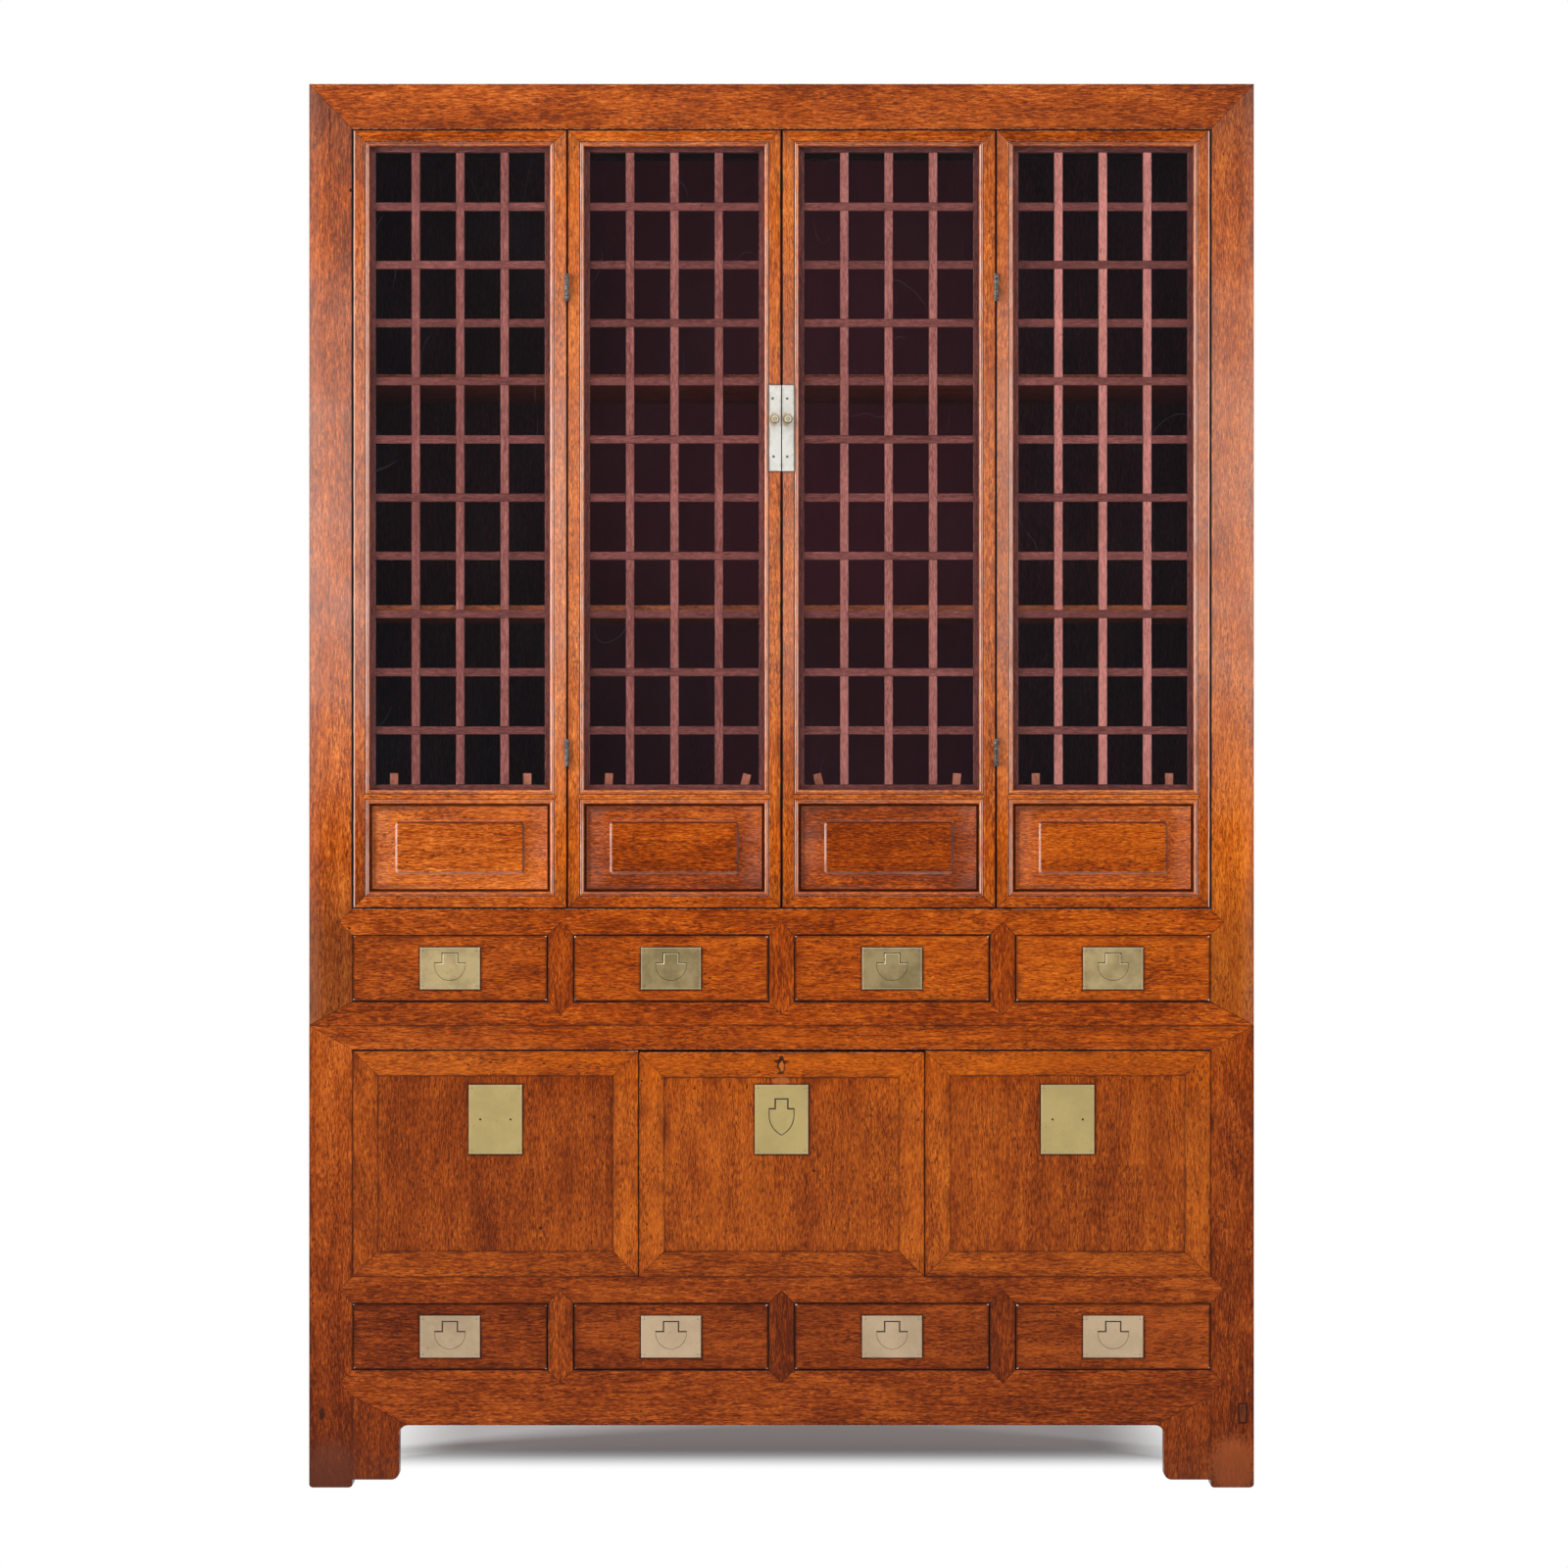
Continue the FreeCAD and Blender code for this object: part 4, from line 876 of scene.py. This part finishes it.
def bevel_member(member, others, widths):
    """Bevels the outward edges, each by the width of its kind, and marks the new faces
    with that kind."""
    round_feet(member)
    rows = bevel_rows(member, others, widths)
    most = max([row[0] for row in rows] + [0.0001])
    mesh = bpy.data.meshes.new("scratch")
    member.bm.to_mesh(mesh)
    member.bm.free()
    weights = mesh.attributes.new("bevel_weight_edge", "FLOAT", "EDGE")
    weights.data.foreach_set("value", [row[0] / most for row in rows])
    for _ in range(2):
        mesh.materials.append(None)
    rounded = add("scratch", mesh)
    bevel = rounded.modifiers.new("bevel", "BEVEL")
    bevel.limit_method, bevel.width, bevel.segments = "WEIGHT", most, 2
    bevel.use_clamp_overlap, bevel.material = False, 1
    graph = bpy.context.evaluated_depsgraph_get()
    member.bm = bmesh.new()
    member.bm.from_mesh(rounded.evaluated_get(graph).to_mesh())
    bpy.data.objects.remove(rounded)
    bpy.data.meshes.remove(mesh)
    marks = member.bm.faces.layers.float.new("edge_mark")
    kinds = [row[1:] for row in rows if row[0] > 0]
    for face in member.bm.faces:
        if face.material_index == 1:
            middle = face.calc_center_median()
            kind = min(kinds, key=lambda k: to_segment(middle, k[1], k[2]))[0]
            face[marks] = edge_marks[kind]
        face.material_index = 0
    return marks


def neighbours(member, everyone):
    """The solids whose boxes come near a member's box."""
    reach = Vector((1, 1, 1)) * 2 * gap_reach
    low, high = member.low - reach, member.high + reach
    return [
        o for o in everyone if all(o.low[i] < high[i] and o.high[i] > low[i] for i in range(3))
    ]


def own_tone(member, axis):
    """How light a member is among its kind, and how much lighter per metre of length."""
    if "turn_button" in member.node:
        return chance.uniform(-0.5, 0.8), 0.0
    if "lattice" in member.node:
        if member.size[2 - axis] > widest_bar:
            return chance.uniform(-1.2, -0.6), 0.0
        pitch = 2 * leaf_joints[1]
        leaf = int((member.low.x + member.high.x + pitch) / pitch + 1)
        upright = lattice_tones[max(0, min(3, leaf))] + chance.uniform(-0.4, 0.4)
        return (upright if axis == 2 else chance.uniform(-0.9, -0.1)), 0.0
    if member.node == "shelves":
        high, low = shelf_tones
        return (high if member.low.z > between_shelves else low) + chance.uniform(-0.1, 0.1), 0.0
    if member.low.y < front_face[0]:
        for px, py, tone, *slope in toned_places:
            x, z = from_photo(px, py)
            if member.low.x <= x <= member.high.x and member.low.z <= z <= member.high.z:
                return tone, sum(slope)
    return chance.uniform(-0.5, 0.5), 0.0


def own_sheen(member, axis):
    """How much painted sheen a tall upright member carries, from 0 to 1, and the top rail."""
    if axis == 0 and member.high.z > leaf_high.z + gap_reach:
        return top_rail_sheen
    if axis != 2 or member.size.z < tall_member:
        return 0.0
    for px, amount in sheen_columns:
        if member.low.x <= from_photo(px, 0)[0] <= member.high.x:
            return amount
    return 0.0


def bead_shade_and_highlight(member, place, axis):
    """Painted shade in the quirk and painted highlight on the round of the bead, each 0 to 1, of a
    leaf member at a place.
    """
    depth = place.y - member.low.y
    across = 0 if axis == 2 else 2
    inward = min(place[across] - member.low[across], member.high[across] - place[across])
    if abs(depth - quirk_depth) < 0.00003 and inward > quirk_inward:
        return 0.8, 0.0
    if not bead_depths[0] <= depth <= bead_depths[1]:
        return 0.0, 0.0
    strength = 1.0 if axis == 2 else 0.25
    for limit, shine in bead_highlights:
        if inward < limit:
            return 0.0, shine * strength
    return 0.0, 0.0


def painted_light_at(member, place, axis, drawn):
    """Painted shade in quirks and hollows, painted highlight on rounded edges and painted sheen,
    each 0 to 1, at a place of a member. Shade and highlight that are drawn on a raised panel come
    with it."""
    if member.low.y >= front_face[0] or place.y >= member.low.y + moulded_depth:
        return 0.0, 0.0, 0.0
    sheen_share = own_sheen(member, axis) if is_upper(member.node) else 0.0
    if drawn:
        return *drawn, sheen_share
    if member.node.endswith(("door_frame", "leaf_frames")):
        return *bead_shade_and_highlight(member, place, axis), sheen_share
    return 0.0, 0.0, sheen_share


def panel_place(x, z, field):
    """Distance of a place on a raised panel outward from the table's edge, and inward
    from the field's edge."""
    over_x, over_z = abs(x) - table_half[0] + table_corner, abs(z) - table_half[1] + table_corner
    outside = math.hypot(max(over_x, 0), max(over_z, 0)) + min(max(over_x, over_z), 0)
    return outside - table_corner, min(field[0] - abs(x), field[1] - abs(z))


def hollow_depth(outside, inside):
    """Depth below the table's top of a raised panel's front: a hollow runs round the
    table, and outside the field the tongue lies lower."""
    if inside < 0:
        return tongue_depth
    if outside < -table_round:
        return 0.0
    share = max(outside, 0) / (max(outside, 0) + inside)
    ring = ring_depth + ring_fall * share + hollow * math.sin(math.pi * share)
    rise = min(1, (outside + table_round) / (2 * table_round))
    ring *= rise * rise * (3 - 2 * rise)
    return ring + max(0, field_round - inside) ** 2 / field_round


def grid_lines(half, table, field):
    """Places of grid lines across half a panel and its mirror: close at each curve."""
    zone, hair = 0.0055, 0.00001
    fine = [table - zone + 2 * zone * i / 14 for i in range(15)]
    ring = [table + zone + (field - table - zone - 0.002) * i / 9 for i in range(1, 10)]
    rim = [field - 0.0013, field - 0.0007, field - hair, field + hair, half]
    places = [table - zone - 0.012] + fine + ring + rim
    return [-p for p in reversed(places)] + [0.0] + places


def table_shade_and_highlight(x, z, outside, inside):
    """Painted shade and painted highlight, each 0 to 1, at a place of a raised panel's front: a
    dark line round the field, the table's edges lit on the left and shaded on the right and top, a
    painted shadow along the left of the field and a faint painted sheen growing to its right.
    """
    if inside < 0.0012:
        return 0.7, 0.0
    if outside < -0.0012:
        return 0.0, 0.0
    if outside < 0.0022:
        if abs(x) - table_half[0] > abs(z) - table_half[1]:
            return (0.0, 0.65) if x < 0 else (0.75, 0.1)
        return (0.75, 0.0) if z > 0 else (0.25, 0.3)
    beside = max(0.0, min(1.0, (abs(x) - table_half[0] - 0.003) / 0.016))
    return (0.5, 0.04) if x < 0 and inside < 0.007 else (0.0, 0.015 + 0.06 * beside)


def dish(member):
    """Gives a raised panel its hollow front, inside the box of its plain solid."""
    middle = (member.low + member.high) / 2
    half_x, half_z = member.size.x / 2, member.size.z / 2
    field = (half_x - tongue_width, half_z - tongue_width)
    columns = grid_lines(half_x, table_half[0], field[0])
    rows = grid_lines(half_z, table_half[1], field[1])
    bm = bmesh.new()
    # Painted shade and painted highlight of each point of the front
    shade_layer, highlight_layer = bm.verts.layers.float.new("painted_shade"), bm.verts.layers.float.new("painted_highlight")
    front = []
    for z in rows:
        front.append([])
        for x in columns:
            outside, inside = panel_place(x, z, field)
            depth = hollow_depth(outside, inside)
            corner = bm.verts.new((middle.x + x, member.low.y + depth, middle.z + z))
            corner[shade_layer], corner[highlight_layer] = table_shade_and_highlight(x, z, outside, inside)
            front[-1].append(corner)
    for low_row, high_row in zip(front, front[1:]):
        for a, b, c, d in zip(low_row, low_row[1:], high_row[1:], high_row):
            bm.faces.new((a, b, c, d))
    border = front[0] + [r[-1] for r in front[1:]]
    border += front[-1][-2::-1] + [r[0] for r in front[-2:0:-1]]
    back = [bm.verts.new((v.co.x, member.high.y, v.co.z)) for v in border]
    for a, b, c, d in zip(border, border[1:] + border[:1], back[1:] + back[:1], back):
        bm.faces.new((d, c, b, a))
    bm.faces.new(back[::-1])
    bmesh.ops.recalc_face_normals(bm, faces=bm.faces)
    member.bm.free()
    member.bm = bm
    return bm.faces.layers.float.new("edge_mark")


def is_raised_panel(member):
    """True for the four solids that are the leaves' raised panels."""
    leaf_part = member.node.endswith(("field_panel", "leaf_frames"))
    return leaf_part and member.size.x > 2 * board_width and member.size.z > board_width


def carried_plate(node):
    """Lowest and highest corner of the metal plate on a wooden node, or of a far one."""
    name = node.replace("_frame", "_lock") + "_plate"
    if name not in frame["nodes"]:
        return Vector((9.0, 9.0, 9.0)), Vector((9.1, 9.1, 9.1))
    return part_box(name)


def dressed(name, node, members, everyone, width, material):
    """A node's members with bevels and grain, as one piece with a material."""
    joined = bmesh.new()
    scratch = bpy.data.meshes.new("scratch")
    keys = ("grain", "to_low", "to_high", "from_low", "from_high", "painted_light")
    layers = {key: [] for key in keys}
    tones, edges = [], []
    plate = carried_plate(node)
    for member in members:
        if is_raised_panel(member):
            marks = dish(member)
        else:
            marks = bevel_member(member, neighbours(member, everyone), width)
        floats = [member.bm.verts.layers.float.get(key) for key in ("painted_shade", "painted_highlight")]
        axis = grain_axis(member)
        wide, thick = sorted((i for i in range(3) if i != axis), key=lambda i: -member.size[i])
        shift = chance.uniform(0, 40)
        pith_aside = chance.uniform(-0.9, 0.9) * max(member.size[wide], 0.03)
        pith_deep = chance.uniform(0.03, 0.13) + member.size[thick] / 2
        tone, slope = own_tone(member, axis)
        middle = (member.low + member.high) / 2
        for v in member.bm.verts:
            away = v.co - middle
            drawn = tuple(v[layer] for layer in floats) if all(floats) else ()
            tones.append(tone + slope * away[axis])
            row = (
                (away[axis] + shift, away[wide] - pith_aside, away[thick] + pith_deep),
                v.co - member.low, member.high - v.co, v.co - plate[0], plate[1] - v.co,
                painted_light_at(member, v.co, axis, drawn),
            )
            for key, value in zip(keys, row):
                layers[key].extend(value)
        for face in member.bm.faces:
            edges += [face[marks]] * len(face.verts)
        member.bm.to_mesh(scratch)
        joined.from_mesh(scratch)
    mesh = bpy.data.meshes.new(name)
    joined.to_mesh(mesh)
    joined.free()
    for key, values in layers.items():
        mesh.attributes.new(key, "FLOAT_VECTOR", "POINT").data.foreach_set("vector", values)
    mesh.attributes.new("tone", "FLOAT", "POINT").data.foreach_set("value", tones)
    mesh.attributes.new("edge", "FLOAT", "CORNER").data.foreach_set("value", edges)
    mesh.materials.append(material)
    mesh.shade_smooth()
    mesh.set_sharp_from_angle(angle=math.radians(40))
    piece = add(name, mesh)
    flatten = piece.modifiers.new("flat faces", "WEIGHTED_NORMAL")
    flatten.keep_sharp = True
    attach(piece, body_of_node[node])
    return piece


body_of_node = {
    node: body for body, nodes in frame["record"]["behaviour"]["bodies"].items() for node in nodes
}


def dressing(node):
    """Bevel, material and slot of a node's dressed piece, or nothing."""
    upper = is_upper(node)
    if node.endswith(("plate", "pull")) and "drawer" in node:
        if not upper:
            return metal_arrises, pale_brass, "pale_brass"
        material = green_pull_brass if node.endswith("pull") else green_brass
        return metal_arrises, material, "green_brass"
    if node[-1].isdigit() and "_drawer_" in node:
        return drawer_arrises, drawer_wood if upper else low_drawer_wood, "drawer_wood"
    frame_wood = upper_wood if upper else lower_wood
    rows = (
        (("panel_plate", "panel_pull"), metal_arrises, gold_brass, "gold_brass"),
        (("lock_plate",), metal_arrises, white_metal, "white_metal"),
        (("iron",), iron_arrises, old_iron, "old_iron"),
        (("_case_frame", "leaf_frames", "door_frame", "field_panel"), wood_arrises, frame_wood,
         "frame_wood"),
        (("lower_panel",), wood_arrises, panel_wood, "frame_wood"),
        (("lattices", "lattice"), lattice_arrises, lattice_wood, "lattice_wood"),
        (("turn_button",), lattice_arrises, button_wood, "lattice_wood"),
        (("case_boards", "drawer_runners"), lattice_arrises, board_wood, "inner_wood"),
        (("shelves",), lattice_arrises, shelf_wood, "inner_wood"),
    )
    for endings, *row in rows:
        if node.endswith(endings):
            return row
    return None


def dress_everything():
    rows = {node: row for node in sorted(frame["nodes"]) if (row := dressing(node))}
    members = {node: [Member(node, t) for t in shells(node)] for node in rows}
    everyone = [m for group in members.values() for m in group]
    for node, group in members.items():
        width, material, slot = rows[node]
        if node.endswith("lock_plate"):
            knob = min(group, key=lambda m: m.low.y)
            group.remove(knob)
            name = node.replace("lock_plate", "knob")
            dressed(name, node, [knob], [], iron_arrises, knob_brass)
        piece = dressed(node + "_dressed", node, group, everyone, width, material)
        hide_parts(node)


def glaze():
    """Gives the panes, which are shown as they are in the CAD, their glass."""
    for node, shown in frame["nodes"].items():
        if node.endswith("glass"):
            shown.data.materials.clear()
            shown.data.materials.append(window_glass)


# Floor, backdrop, light and camera


def make_floor():
    """White floor that keeps the cabinet's shadow only behind it, between its sides, and glows
    plain white in front, to the sides and beyond, so that no shadow shows there. It is
    white to the camera, off metal and through glass, and lights as a plain pale floor."""
    mesh = bpy.data.meshes.new("floor")
    ways = ((-1, -1), (1, -1), (1, 1), (-1, 1))
    corners = [(x * floor_reach, y * floor_reach, 0) for x, y in ways]
    mesh.from_pydata(corners, [], [(0, 1, 2, 3)])
    floor = add("floor", mesh)
    floor.location.z = -floor_drop
    s = Nodes(bpy.data.materials.new("white_floor"))
    place = s.place()
    x, y, _ = s.xyz(place)
    # Glow that hides the cabinet's shadow in front and to the sides
    beside = s.larger(s.steps(s.size(x), 0.50, 0.72), s.near(y, 0.0, 0.30))
    beyond = s.larger(s.steps(s.length(place), 1.1, 2.2), beside)
    path = s.node("LightPath").outputs
    seen = s.larger(path["Is Camera Ray"], path["Is Glossy Ray"])
    seen = s.larger(seen, path["Is Transmission Ray"])
    pale = s.node("BsdfDiffuse", {"Color": rgb(0.9, 0.9, 0.9)}).outputs[0]
    glow = s.node("Emission", {"Color": rgb(1, 1, 1), "Strength": 1.0}).outputs[0]
    shown = s.node("MixShader", {0: beyond, 1: pale, 2: glow}).outputs[0]
    surface = s.node("MixShader", {0: seen, 1: pale, 2: shown}).outputs[0]
    mesh.materials.append(s.finish(surface))


def make_world():
    """White backdrop wherever it is seen, and a soft even light from all round. Gloss
    mirrors a room that is dim in front and light at the sides and the back."""
    s = Nodes(bpy.data.worlds.new("studio"))
    bpy.context.scene.world = s.owner
    path = s.node("LightPath").outputs
    _, y, _ = s.xyz(s.place("Generated"))
    room = s.steps(y, -1.0, -0.5, mirrored_front, mirrored_sides)
    level = ambient
    for ray, seen in (("Glossy", room), ("Transmission", 1.0), ("Camera", 1.0)):
        inputs = {"Factor": path[f"Is {ray} Ray"], "A": level, "B": seen}
        level = s.node("Mix", inputs).outputs["Result"]
    back = s.node("Background", {"Strength": level, "Color": rgb(1, 1, 1)}).outputs[0]
    s.finish(back, "OutputWorld")


def make_lamps():
    """Soft boxes that shine at points of the cabinet."""
    for name, (place, target, width, tall, watts) in lamps.items():
        light = bpy.data.lights.new(name, "AREA")
        light.shape = "RECTANGLE"
        light.size, light.size_y, light.energy = width, tall, watts
        lamp = add(name, light)
        lamp.location = place
        way = Vector(target) - Vector(place)
        lamp.rotation_euler = way.to_track_quat("-Z", "Y").to_euler()


def make_camera():
    """Long lens square to the front, framed as in the photograph."""
    front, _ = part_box("upper_case_frame")
    centre_x, centre_z = from_photo(photo_pixels / 2, photo_pixels / 2)
    data = bpy.data.cameras.new("camera")
    data.sensor_width = sensor_width
    data.lens = sensor_width * camera_distance / (photo_pixels * metres_per_pixel)
    data.clip_end = 60.0
    camera = add("camera", data)
    camera.location = (centre_x, front.y - camera_distance, centre_z)
    camera.rotation_euler = (math.radians(90), 0, 0)
    bpy.context.scene.camera = camera


dress_everything()
glaze()
make_floor()
make_world()
make_lamps()
make_camera()
bpy.context.scene.view_settings.view_transform = "Standard"
